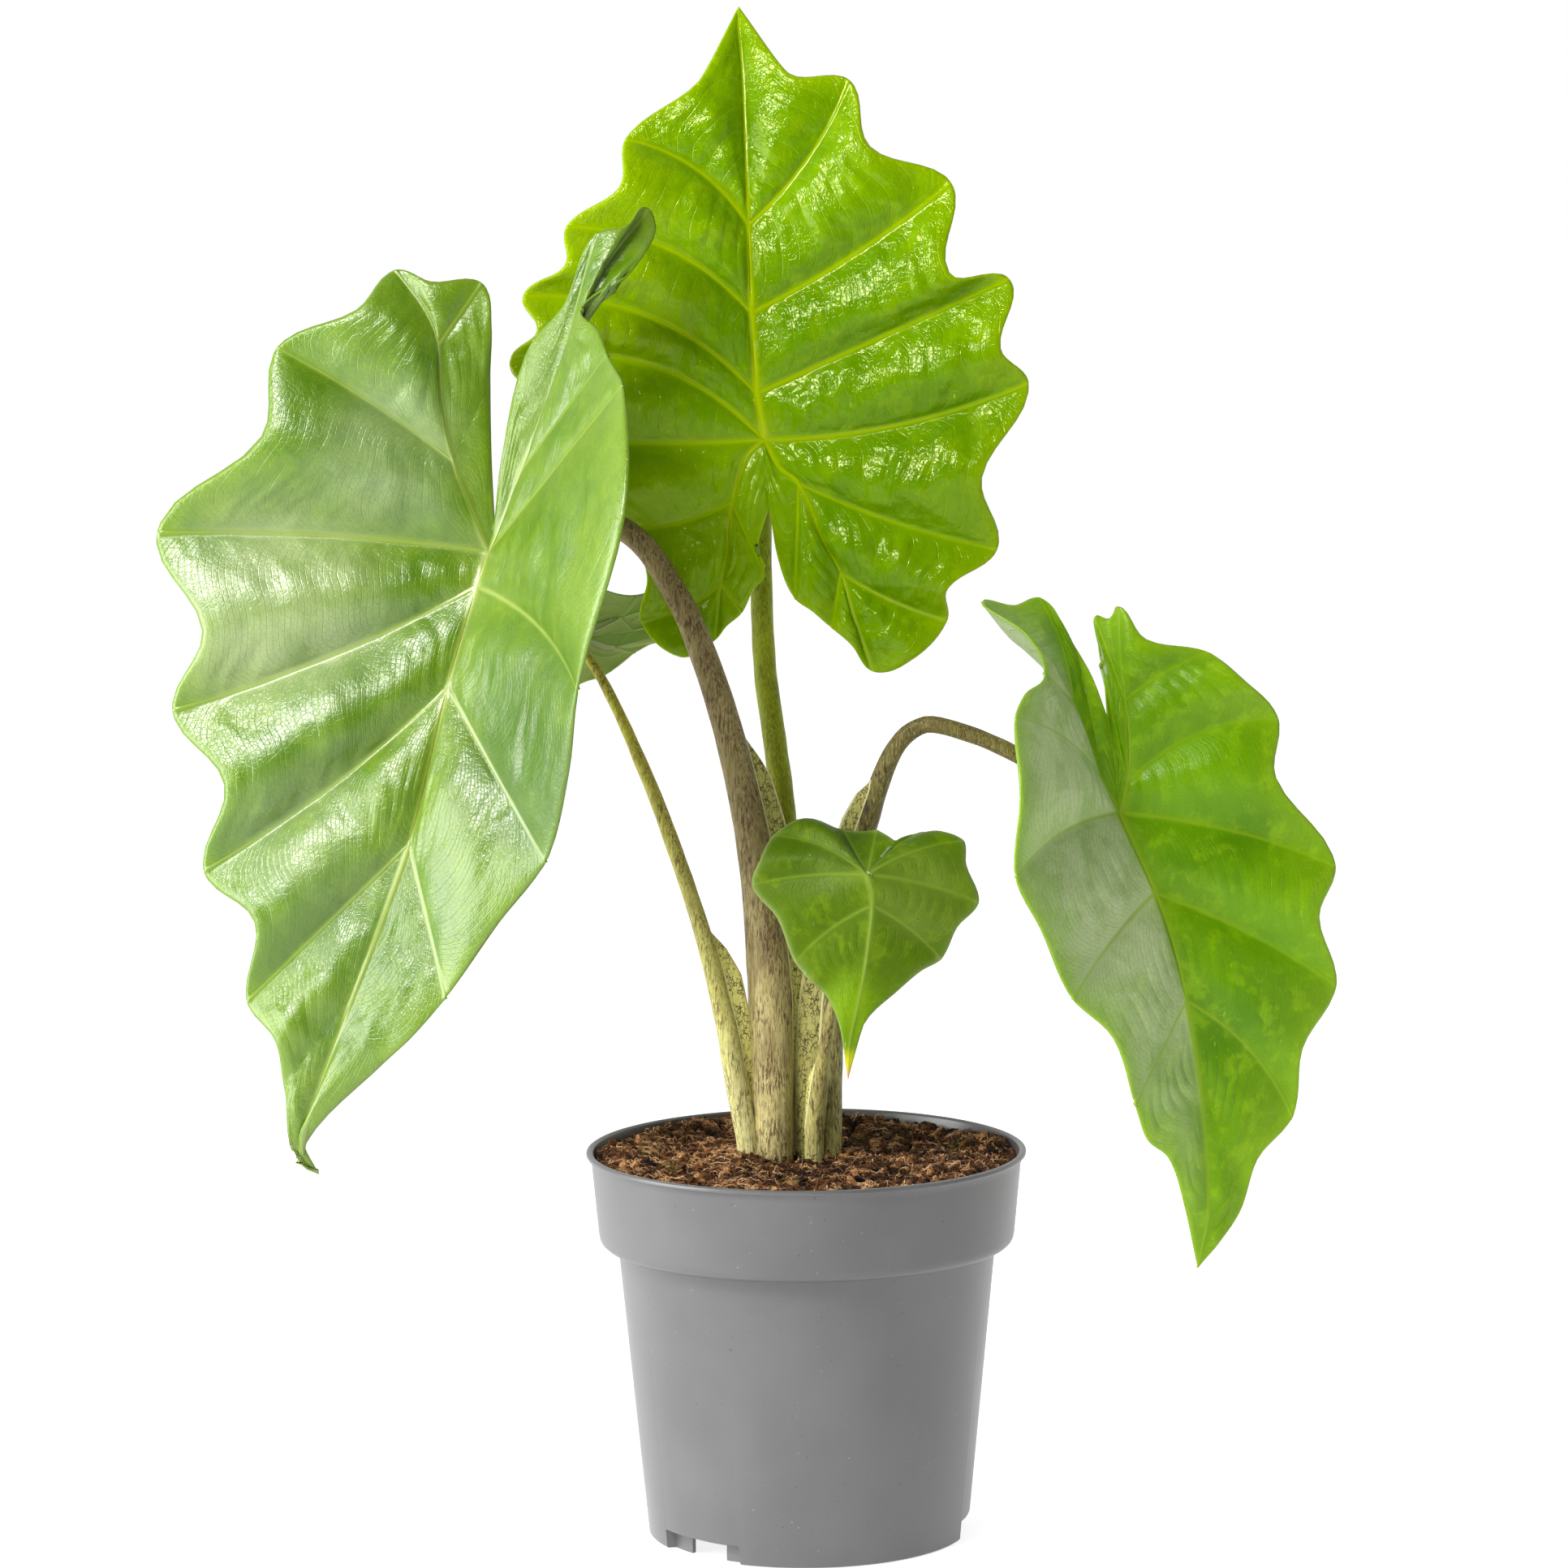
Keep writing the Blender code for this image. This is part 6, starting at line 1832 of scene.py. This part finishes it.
@dataclass(frozen=True)
class Peat:
    """The look of the soil's filling: dark damp peat with paler crumbs, and painted shade in its hollows."""

    damp: Colour = tone(40, 25, 14)
    dry: Colour = tone(118, 78, 46)
    speck: Colour = tone(182, 130, 82)
    pit: Colour = tone(16, 8, 5)
    painted_hollow_shade: Colour = tone(14, 8, 5)
    roughness: float = 0.92
    gloss: float = 0.2

    def material(self) -> bpy.types.Material:
        """Lay the look down as nodes.

        Returns:
            The material.
        """
        sheet = NodeSheet("peat")
        patches = sheet.step(sheet.grain(0.012, 5.0, None, 0.65), 0.35, 0.65)
        specks = sheet.step(sheet.grain(0.0014), 0.52, 0.66)
        pits = sheet.step(sheet.grain(0.0022, 4.0, None, 0.65), 0.52, 0.36)
        # Painted shade: the lower places of the filling are darkened.
        hollow_shade_mask = sheet.step(sheet.value_of("stand"), 0.52, 0.22)
        colour = sheet.layered(self.damp, (
            (self.dry, patches, 1.0), (self.speck, specks, 0.7), (self.pit, pits, 0.9),
            (self.painted_hollow_shade, hollow_shade_mask, 0.9)))
        sheet.fix({"Specular IOR Level": self.gloss})
        normal = sheet.bump(sheet.grain(0.0016, 6.0, None, 0.75), 0.0018)
        return sheet.finish(colour, self.roughness, normal)


@dataclass(frozen=True)
class Crumbs:
    """The look of the crumbs, from dark peat to bark."""

    peat: Colour = tone(24, 14, 9)
    brown: Colour = tone(118, 78, 46)
    bark: Colour = tone(196, 142, 92)
    grit: Colour = tone(20, 10, 6)
    roughness: float = 0.9
    gloss: float = 0.2

    def material(self) -> bpy.types.Material:
        """Lay the look down as nodes.

        Returns:
            The material.
        """
        sheet = NodeSheet("crumbs")
        # The tint carries the soil's painted light and painted shade.
        tint = sheet.value_of("tint")
        grit = sheet.grain(0.0009, 4.0, None, 0.65)
        colour = sheet.layered(self.peat, (
            (self.brown, sheet.step(tint, 0.12, 0.75), 1.0),
            (self.bark, sheet.step(tint, 0.76, 0.96), 1.0),
            (self.grit, sheet.step(grit, 0.55, 0.35), 0.7)))
        sheet.fix({"Specular IOR Level": self.gloss})
        return sheet.finish(colour, self.roughness, sheet.bump(grit, 0.0007, 0.9))


@dataclass(frozen=True)
class Coir:
    """The look of the fibres: dark brown to dry tan."""

    dark: Colour = tone(26, 16, 10)
    brown: Colour = tone(158, 106, 62)
    tan: Colour = tone(246, 200, 146)
    stain: Colour = tone(60, 32, 18)
    roughness: float = 0.7
    gloss: float = 0.3

    def material(self) -> bpy.types.Material:
        """Lay the look down as nodes.

        Returns:
            The material.
        """
        sheet = NodeSheet("coir")
        # The tint carries the soil's painted light and painted shade.
        tint = sheet.value_of("tint")
        colour = sheet.layered(self.dark, (
            (self.brown, sheet.step(tint, 0.14, 0.66), 1.0),
            (self.tan, sheet.step(tint, 0.66, 0.96), 1.0), (self.stain, sheet.grain(0.0016, 2.0), 0.4)))
        sheet.fix({"Specular IOR Level": self.gloss})
        return sheet.finish(colour, self.roughness, sheet.bump(sheet.grain(0.0006, 2.0), 0.0002, 0.5))


@dataclass(frozen=True)
class Moss:
    """The look of the moss: olive to fresh green."""

    olive: Colour = tone(96, 104, 30)
    fresh: Colour = tone(160, 176, 50)
    stain: Colour = tone(70, 60, 26)
    roughness: float = 0.8

    def material(self) -> bpy.types.Material:
        """Lay the look down as nodes.

        Returns:
            The material.
        """
        sheet = NodeSheet("moss")
        colour = sheet.layered(self.olive, (
            (self.fresh, sheet.value_of("tint"), 1.0), (self.stain, sheet.grain(0.002, 2.0), 0.4)))
        return sheet.finish(colour, self.roughness, sheet.bump(sheet.grain(0.0008, 2.0), 0.0002, 0.5))


@dataclass
class Soil:
    """The soil: a lumpy filling, crumbs, coir fibres and a little moss."""

    pot: Pot
    edge_z: float = 163.0
    rise: float = -0.2
    rings: int = 130
    sectors: int = 420
    crumbs: int = 1600
    fibres: int = 5400
    threads: int = 4200
    roots: int = 46
    moss_leaves: int = 80
    least_crumb: float = 0.40
    crumb_range: float = 1.15
    bank: float = 1.4
    bank_width: float = 3.5
    above_rim: float = 1.4
    rim_drop: float = 2.2
    stalk_gap: float = 0.6
    wall_gap: float = 0.3
    heaps: Tuple[Tuple[float, float, float, float], ...] = (
        (-50.0, 62.0, 3.5, 18.0), (-24.0, 72.0, 3.5, 15.0), (30.0, 74.0, 1.5, 16.0), (80.0, 28.0, 2.5, 18.0),
        (-84.0, 6.0, 3.5, 18.0), (-66.0, -24.0, 2.6, 20.0), (-34.0, -14.0, 4.0, 9.0),
        (60.0, -34.0, 2.4, 20.0), (40.0, 20.0, -3.0, 18.0), (-20.0, -62.0, 1.5, 16.0),
        (-14.0, -20.0, -1.5, 10.0))
    moss_spots: Tuple[Point, ...] = (
        (24.0, 44.0, 7.0), (36.0, 52.0, 6.0), (-70.0, -8.0, 9.0), (-58.0, -30.0, 7.0), (-6.0, -60.0, 5.0),
        (66.0, 18.0, 5.0))

    def top_radius(self) -> float:
        """Return the radius at which the soil meets the collar's inside."""
        return self.pot.collar_top_r - self.pot.wall - 0.4

    def level(self, x: Array, y: Array) -> Array:
        """Return the soil's height at places.

        Args:
            x: The places' X, in millimetres.
            y: The places' Y.

        Returns:
            The heights.
        """
        spots = np.stack([x, y, np.zeros_like(x)], axis=-1)
        reach = np.minimum(1.0, np.hypot(x, y) / self.top_radius())
        height = self.edge_z + self.rise * np.cos(reach * math.pi / 2)
        for place_x, place_y, rise, width in self.heaps:
            height = height + rise * np.exp(-((x - place_x) ** 2 + (y - place_y) ** 2) / width ** 2)
        for stalk in STALKS:
            foot = stalk.stations[1]
            gap = np.maximum(0.0, np.hypot(x - foot[0], y - foot[1]) - foot[3])
            height = height + self.bank * np.exp(-(gap / self.bank_width) ** 2)
        height = height + self.roughness(spots)
        drop = self.rim_drop * smooth_step((reach - 0.86) / 0.12)
        return np.minimum(height, self.pot.height + self.above_rim - drop)

    @staticmethod
    def roughness(spots: Array) -> Array:
        """Return how far the soil's clods stand out or fall back at places, in millimetres.

        Args:
            spots: The places, with a height of 0.

        Returns:
            One height for each place.
        """
        broad = 1.3 * lumps(spots, 22.0, 1.0) + 2.0 * lumps(spots, 9.0, 2.0)
        clods = 3.4 * (0.35 - np.abs(lumps(spots, 6.5, 3.0))) + 1.6 * lumps(spots, 3.0, 4.0)
        return broad + clods + 1.0 * lumps(spots, 1.6, 5.0)

    def tints(self, rng: np.random.Generator, spots: Array) -> Array:
        """Return tints for the spots, 0 to 1: alike in each clod, with painted shade in the hollows and
        painted light at the left.

        Args:
            rng: The source of chance.
            spots: Their X and Y.

        Returns:
            One tint for each spot.
        """
        flat = np.column_stack([spots, np.zeros(len(spots))])
        # The clods' height darkens the low ones as painted shade.
        clod = 1.3 * lumps(flat, 4.5, 31.0) + 0.15 * self.roughness(flat)
        # The fall from left to right is painted light from the left.
        return np.clip(0.40 + clod + 0.5 * (rng.random(len(spots)) - 0.5) - spots[:, 0] / 420, 0, 1)

    def build(self) -> None:
        """Shape the soil and everything that lies on it."""
        rng = np.random.default_rng(SEED)
        self.filling()
        spots = self.spots(rng, self.crumbs, 2.5)
        crumb = self.clod()
        self.scatter("soil_crumbs", crumb, [self.crumb_places(rng, crumb, spot) for spot in spots],
                     self.tints(rng, spots), Crumbs().material())
        for name, count, shortest, spread, girth in (
                ("soil_fibres", self.fibres, 1.6, 4.5, 0.13), ("soil_threads", self.threads, 2.5, 8.0, 0.10)):
            strand = self.strand(3)
            spots = self.spots(rng, count, 3.0)
            places = [self.fibre_places(rng, strand, spot, shortest, spread, girth) for spot in spots]
            self.scatter(name, strand, places, self.tints(rng, spots), Coir().material())
        root = self.strand(16)
        spots = self.spots(rng, self.roots, 18.0)
        places = [self.fibre_places(rng, root, spot, 10.0, 16.0, 0.24) for spot in spots]
        self.scatter("soil_roots", root, places, 0.5 + 0.5 * rng.random(len(spots)), Coir().material())
        moss = self.strand(3)
        places = [self.moss_places(rng, moss, spot) for spot in self.moss_spots
                  for _ in range(self.moss_leaves)]
        self.scatter("soil_moss", moss, places, rng.random(len(places)), Moss().material())

    def filling(self) -> None:
        """Shape the filling: a lumpy top over plain sides."""
        pot = self.pot
        turns = np.linspace(0, math.tau, self.sectors + 1)
        reach = np.linspace(0, 1, self.rings + 1)[:, None] * self.top_radius()
        top = np.zeros((self.rings + 1, len(turns), 3))
        top[..., 0] = reach * np.cos(turns)
        top[..., 1] = reach * np.sin(turns)
        top[..., 2] = self.level(top[..., 0], top[..., 1])
        inner = pot.body_low_r - pot.wall - self.wall_gap
        upper = pot.body_top_r - pot.wall - self.wall_gap
        base = pot.floor_rise + pot.floor + self.wall_gap
        side = [(pot.collar_low_r - pot.wall - 2 * self.wall_gap, pot.collar_low_z + 5.2),
                (upper, pot.collar_low_z + 2.2), (inner, base + 2.6), (inner - 2.2, base), (0, base)]
        rings = [
            np.stack([radius * np.cos(turns), radius * np.sin(turns), np.full(len(turns), height)], axis=1)
            for radius, height in side]
        grid = np.concatenate([top, np.array(rings)])[:, ::-1]
        grid[:, -1] = grid[:, 0]
        grid[0] = grid[0].mean(axis=0)
        flat = np.stack([top[..., 0], top[..., 1], np.zeros_like(top[..., 0])], axis=-1)
        stand = np.concatenate([self.roughness(flat), np.zeros((len(side), len(turns)))])[:, ::-1]
        item = wrapped_grid("soil_filling", grid, {"stand": 0.5 + stand / 6.0})
        item.data.materials.append(Peat().material())
        dress(item, ("soil",))

    def clear_of_stalks(self, x: float, y: float) -> bool:
        """Return whether a spot is outside every stalk."""
        return all(math.hypot(x - stalk.stations[1][0], y - stalk.stations[1][1])
                   > stalk.stations[1][3] + self.stalk_gap for stalk in STALKS)

    def spots(self, rng: np.random.Generator, count: int, inset: float) -> Array:
        """Return random spots on the soil.

        Args:
            rng: The source of chance.
            count: How many spots.
            inset: How far they stay from the pot's wall.

        Returns:
            The spots' X and Y.
        """
        found = []
        while len(found) < count:
            reach = (self.top_radius() - inset) * math.sqrt(rng.random())
            turn = math.tau * rng.random()
            x, y = reach * math.cos(turn), reach * math.sin(turn)
            if self.clear_of_stalks(x, y):
                found.append((x, y))
        return np.array(found)

    @staticmethod
    def clod() -> bpy.types.Object:
        """Model one crumb: a cube cut once each way and rounded off.

        Returns:
            The crumb.
        """
        deselect()
        bpy.ops.mesh.primitive_cube_add(size=2.0)
        item = bpy.context.object
        bpy.ops.object.mode_set(mode="EDIT")
        bpy.ops.mesh.select_all(action="SELECT")
        bpy.ops.mesh.subdivide(number_cuts=1)
        bpy.ops.transform.tosphere(value=0.75)
        bpy.ops.object.mode_set(mode="OBJECT")
        return item

    @staticmethod
    def strand(cuts: int) -> bpy.types.Object:
        """Model one fibre: a thin three-sided rod along X, from -1 to 1, cut along its length.

        Args:
            cuts: How many cuts are made across it.

        Returns:
            The rod.
        """
        deselect()
        bpy.ops.mesh.primitive_cylinder_add(
            vertices=3, radius=1.0, depth=2.0, rotation=(0, math.pi / 2, 0), end_fill_type="TRIFAN")
        item = bpy.context.object
        bpy.ops.object.transform_apply(location=True, rotation=True, scale=True)
        for vertex in item.data.vertices:
            vertex.select = False
        for face in item.data.polygons:
            face.select = False
        bpy.context.tool_settings.mesh_select_mode = (False, True, False)
        for edge in item.data.edges:
            first, second = (item.data.vertices[index].co.x for index in edge.vertices)
            edge.select = abs(first - second) > 1.0
        bpy.ops.object.mode_set(mode="EDIT")
        bpy.ops.mesh.subdivide(number_cuts=cuts)
        bpy.ops.object.mode_set(mode="OBJECT")
        bpy.context.tool_settings.mesh_select_mode = (True, False, False)
        return item

    def crumb_places(self, rng: np.random.Generator, model: bpy.types.Object, spot: Array) -> Array:
        """Return one crumb's points, of random size, shape and turn.

        Args:
            rng: The source of chance.
            model: The crumb that is copied.
            spot: Its X and Y.

        Returns:
            One row for each point.
        """
        shape = model_points(model)
        size = self.least_crumb + self.crumb_range * rng.random() ** 3.5
        rough = lumps(shape * 6.0, 6.0, 10.0 + 50 * rng.random())[:, None]
        turn = Matrix.Rotation(math.tau * rng.random(), 3, Vector(rng.normal(size=3)).normalized())
        shape = shape * size * (0.5 + rng.random(3)) * (1 + 0.8 * rough) @ np.array(turn)
        ground = float(self.level(spot[:1], spot[1:])[0])
        return shape + (spot[0], spot[1], ground + size * 0.2)

    def fibre_places(self, rng: np.random.Generator, model: bpy.types.Object, spot: Array, shortest: float,
                     spread: float, girth: float) -> Array:
        """Return one fibre's points, bent at random and laid on the soil.

        Args:
            rng: The source of chance.
            model: The rod that is copied.
            spot: The X and Y of its middle.
            shortest: The least length.
            spread: How much longer it may be.
            girth: Its least half thickness.

        Returns:
            One row for each point.
        """
        shape = model_points(model)
        share = shape[:, 0] / 2
        length = shortest + spread * rng.random() ** 2.2
        turn, bend, wave = math.tau * rng.random(), rng.normal() * 1.1, rng.normal() * 0.5
        heading = turn + bend * share + wave * np.sin(share * 7)
        line_x = spot[0] + length * (share * np.cos(turn) - bend * share ** 2 * np.sin(turn) * 0.5)
        line_y = spot[1] + length * (share * np.sin(turn) + bend * share ** 2 * np.cos(turn) * 0.5)
        line_x = line_x + wave * np.sin(share * 7) * -np.sin(turn) * 0.12 * length
        line_y = line_y + wave * np.sin(share * 7) * np.cos(turn) * 0.12 * length
        reach = np.hypot(line_x, line_y)
        keep = np.minimum(1.0, (self.top_radius() - 1.5) / np.maximum(reach, 1e-6))
        line_x, line_y = line_x * keep, line_y * keep
        tilt = (0.2 + 3.0 * rng.random() ** 2) * (1 if rng.random() < 0.5 else -1)
        ground = self.level(line_x, line_y)
        arch = 0.2 + 0.9 * rng.random()
        line_z = 0.5 * ground + 0.5 * ground.mean() + 0.3 + tilt * share + arch * (1 - 4 * share ** 2)
        thick = (girth + girth * rng.random() ** 2) * (1 - 0.75 * np.abs(2 * share) ** 3)
        out = np.stack([-np.sin(heading), np.cos(heading), np.zeros_like(heading)], axis=1)
        line = np.stack([line_x, line_y, line_z], axis=1)
        thick = thick[:, None]
        return line + out * (shape[:, 1:2] * thick) + np.array((0, 0, 1)) * (shape[:, 2:] * thick)

    def moss_places(self, rng: np.random.Generator, model: bpy.types.Object, spot: Point) -> Array:
        """Return one moss leaf's points, upright and leaning at random.

        Args:
            rng: The source of chance.
            model: The rod that is copied.
            spot: The tuft's X, Y and width.

        Returns:
            One row for each point.
        """
        shape = model_points(model)
        x = spot[0] + rng.normal() * spot[2] * 0.45
        y = spot[1] + rng.normal() * spot[2] * 0.45
        keep = min(1.0, (self.top_radius() - 2.0) / max(math.hypot(x, y), 1e-6))
        x, y = x * keep, y * keep
        tall = 0.8 + 1.8 * rng.random()
        share = (shape[:, 0] + 1) / 2
        lean = rng.normal(size=2) * 0.9
        girth = 0.22 * (1.1 - share)
        line = np.stack([x + lean[0] * share ** 2 + shape[:, 1] * girth,
                         y + lean[1] * share ** 2 + shape[:, 2] * girth,
                         float(self.level(np.array((x,)), np.array((y,)))[0]) - 0.3 + tall * share], axis=1)
        return line

    @staticmethod
    def scatter(name: str, model: bpy.types.Object, places: Sequence[Array], tints: Sequence[float],
                material: bpy.types.Material) -> None:
        """Copy a model to each set of places, each copy with its own mesh, and join the copies.

        Args:
            name: The piece's name.
            model: The model, which is removed afterwards.
            places: Each copy's points, in millimetres.
            tints: Each copy's tint, 0 to 1.
            material: The finish.
        """
        layer = model.data.attributes.new("tint", "FLOAT", "POINT")
        deselect()
        copies = []
        for spots, tint in zip(places, tints):
            layer.data.foreach_set("value", np.full(len(spots), tint, dtype=np.float32))
            copy = model.copy()
            copy.data = model.data.copy()
            layer = model.data.attributes["tint"]
            copy.data.vertices.foreach_set("co", (spots * MM).ravel())
            bpy.context.scene.collection.objects.link(copy)
            copy.select_set(True)
            copies.append(copy)
        bpy.context.view_layer.objects.active = copies[0]
        bpy.ops.object.join()
        item = bpy.context.object
        item.name = name
        item.data.name = name
        item.data.materials.clear()
        item.data.materials.append(material)
        bpy.data.objects.remove(model, do_unlink=True)
        dress(item)


def model_points(model: bpy.types.Object) -> Array:
    """Return a model's points, one row for each.

    Args:
        model: The object.

    Returns:
        The points, in its mesh's units.
    """
    flat = np.empty(len(model.data.vertices) * 3)
    model.data.vertices.foreach_get("co", flat)
    return flat.reshape(-1, 3)


@dataclass(frozen=True)
class Softbox:
    """A square soft light that faces the plant, with its place and side in metres."""

    name: str
    spot: Point
    side: float
    watts: float

    def hang(self, aim: Point) -> None:
        """Hang the light so that it faces a point.

        Args:
            aim: The point, in metres.
        """
        data = bpy.data.lights.new(self.name, "AREA")
        data.shape = "SQUARE"
        data.size = self.side
        data.energy = self.watts
        item = bpy.data.objects.new(self.name, data)
        bpy.context.scene.collection.objects.link(item)
        item.location = self.spot
        item.rotation_euler = (Vector(aim) - Vector(self.spot)).to_track_quat("-Z", "Y").to_euler()


@dataclass
class Studio:
    """The floor, the soft lights and the camera, with places and sizes in metres."""

    floor_size: float = 24.0
    floor_z: float = -0.0004
    floor_glow: Tuple[float, float] = (0.42, 0.80)
    floor_shade: Tuple[float, float] = (-0.62, -0.22)
    room_glow: Tuple[float, float] = (0.04, 0.8)
    room_shade: Tuple[float, float] = (-0.2, 0.6)
    aim: Point = (0.0, 0.0, 0.35)
    softboxes: Tuple[Softbox, ...] = (
        Softbox("side", (-2.3, -0.7, 0.55), 2.0, 86.0),
        Softbox("upper", (-1.3, -1.5, 2.1), 0.75, 54.0),
        Softbox("window", (-0.5, -1.7, 1.9), 0.28, 4.5),
        Softbox("low front", (-0.3, -1.5, 0.04), 0.9, 2.0),
        Softbox("fill", (1.9, -1.3, 0.8), 1.2, 4.0))

    def build(self) -> None:
        """Set the whole studio up."""
        self.camera()
        self.floor()
        self.sky()
        for softbox in self.softboxes:
            softbox.hang(self.aim)

    def camera(self) -> None:
        """Place the camera at the photograph's viewing angle."""
        data = bpy.data.cameras.new("camera")
        data.sensor_width = SENSOR
        data.lens = FOCAL_SHARE * SENSOR
        data.clip_start, data.clip_end = 0.05, 60.0
        item = bpy.data.objects.new("camera", data)
        bpy.context.scene.collection.objects.link(item)
        right = Vector((1, 0, 0))
        up = Vector((0, math.sin(EYE_DIP), math.cos(EYE_DIP)))
        image_right = right * math.cos(EYE_ROLL) + up * math.sin(EYE_ROLL)
        image_up = up * math.cos(EYE_ROLL) - right * math.sin(EYE_ROLL)
        turn = Matrix((image_right, image_up, image_right.cross(image_up))).transposed()
        item.matrix_world = Matrix.Translation(Vector(EYE * MM)) @ turn.to_4x4()
        bpy.context.scene.camera = item

    def floor(self) -> None:
        """Lay the pale floor, which glows less in front of the plant than behind it."""
        deselect()
        bpy.ops.mesh.primitive_plane_add(size=self.floor_size, location=(0, 0, self.floor_z))
        item = bpy.context.object
        item.name = "studio_floor"
        sheet = NodeSheet("studio_white")
        glow = sheet.step(sheet.axis("Y"), *self.floor_shade, *self.floor_glow)
        sheet.fix({"Emission Color": WHITE, "Emission Strength": glow})
        item.data.materials.append(sheet.finish((0.55, 0.55, 0.55), 0.8))

    def sky(self) -> None:
        """Light the studio softly: a white wall behind the plant and a dimmer room before it."""
        world = bpy.data.worlds.new("studio")
        bpy.context.scene.world = world
        world.use_nodes = True
        tree = world.node_tree
        back = tree.nodes["Background"]
        back.inputs["Color"].default_value = (*WHITE, 1.0)
        split = tree.nodes.new("ShaderNodeSeparateXYZ")
        tree.links.new(tree.nodes.new("ShaderNodeTexCoord").outputs["Generated"], split.inputs[0])
        wall = tree.nodes.new("ShaderNodeMapRange")
        wall.interpolation_type = "SMOOTHSTEP"
        tree.links.new(split.outputs["Y"], wall.inputs["Value"])
        names = ("From Min", "From Max", "To Min", "To Max")
        for name, number in zip(names, (*self.room_shade, *self.room_glow)):
            wall.inputs[name].default_value = number
        seen = tree.nodes.new("ShaderNodeMix")
        tree.links.new(tree.nodes.new("ShaderNodeLightPath").outputs["Is Camera Ray"], seen.inputs[0])
        tree.links.new(wall.outputs[0], seen.inputs[2])
        seen.inputs[3].default_value = 1.0
        tree.links.new(seen.outputs[0], back.inputs["Strength"])
        view = bpy.context.scene.view_settings
        view.view_transform = "Standard"
        view.look = "None"
        view.exposure = 0.0


def main() -> None:
    """Build the plant and its studio."""
    logging.basicConfig(level=logging.INFO, format="%(message)s")
    Studio().build()
    pot = Pot()
    pot.build()
    Soil(pot).build()
    for stalk in STALKS:
        stalk.build()
    for leaf in LEAVES:
        leaf.build()
    bpy.context.view_layer.update()


if __name__ == "__main__":
    main()
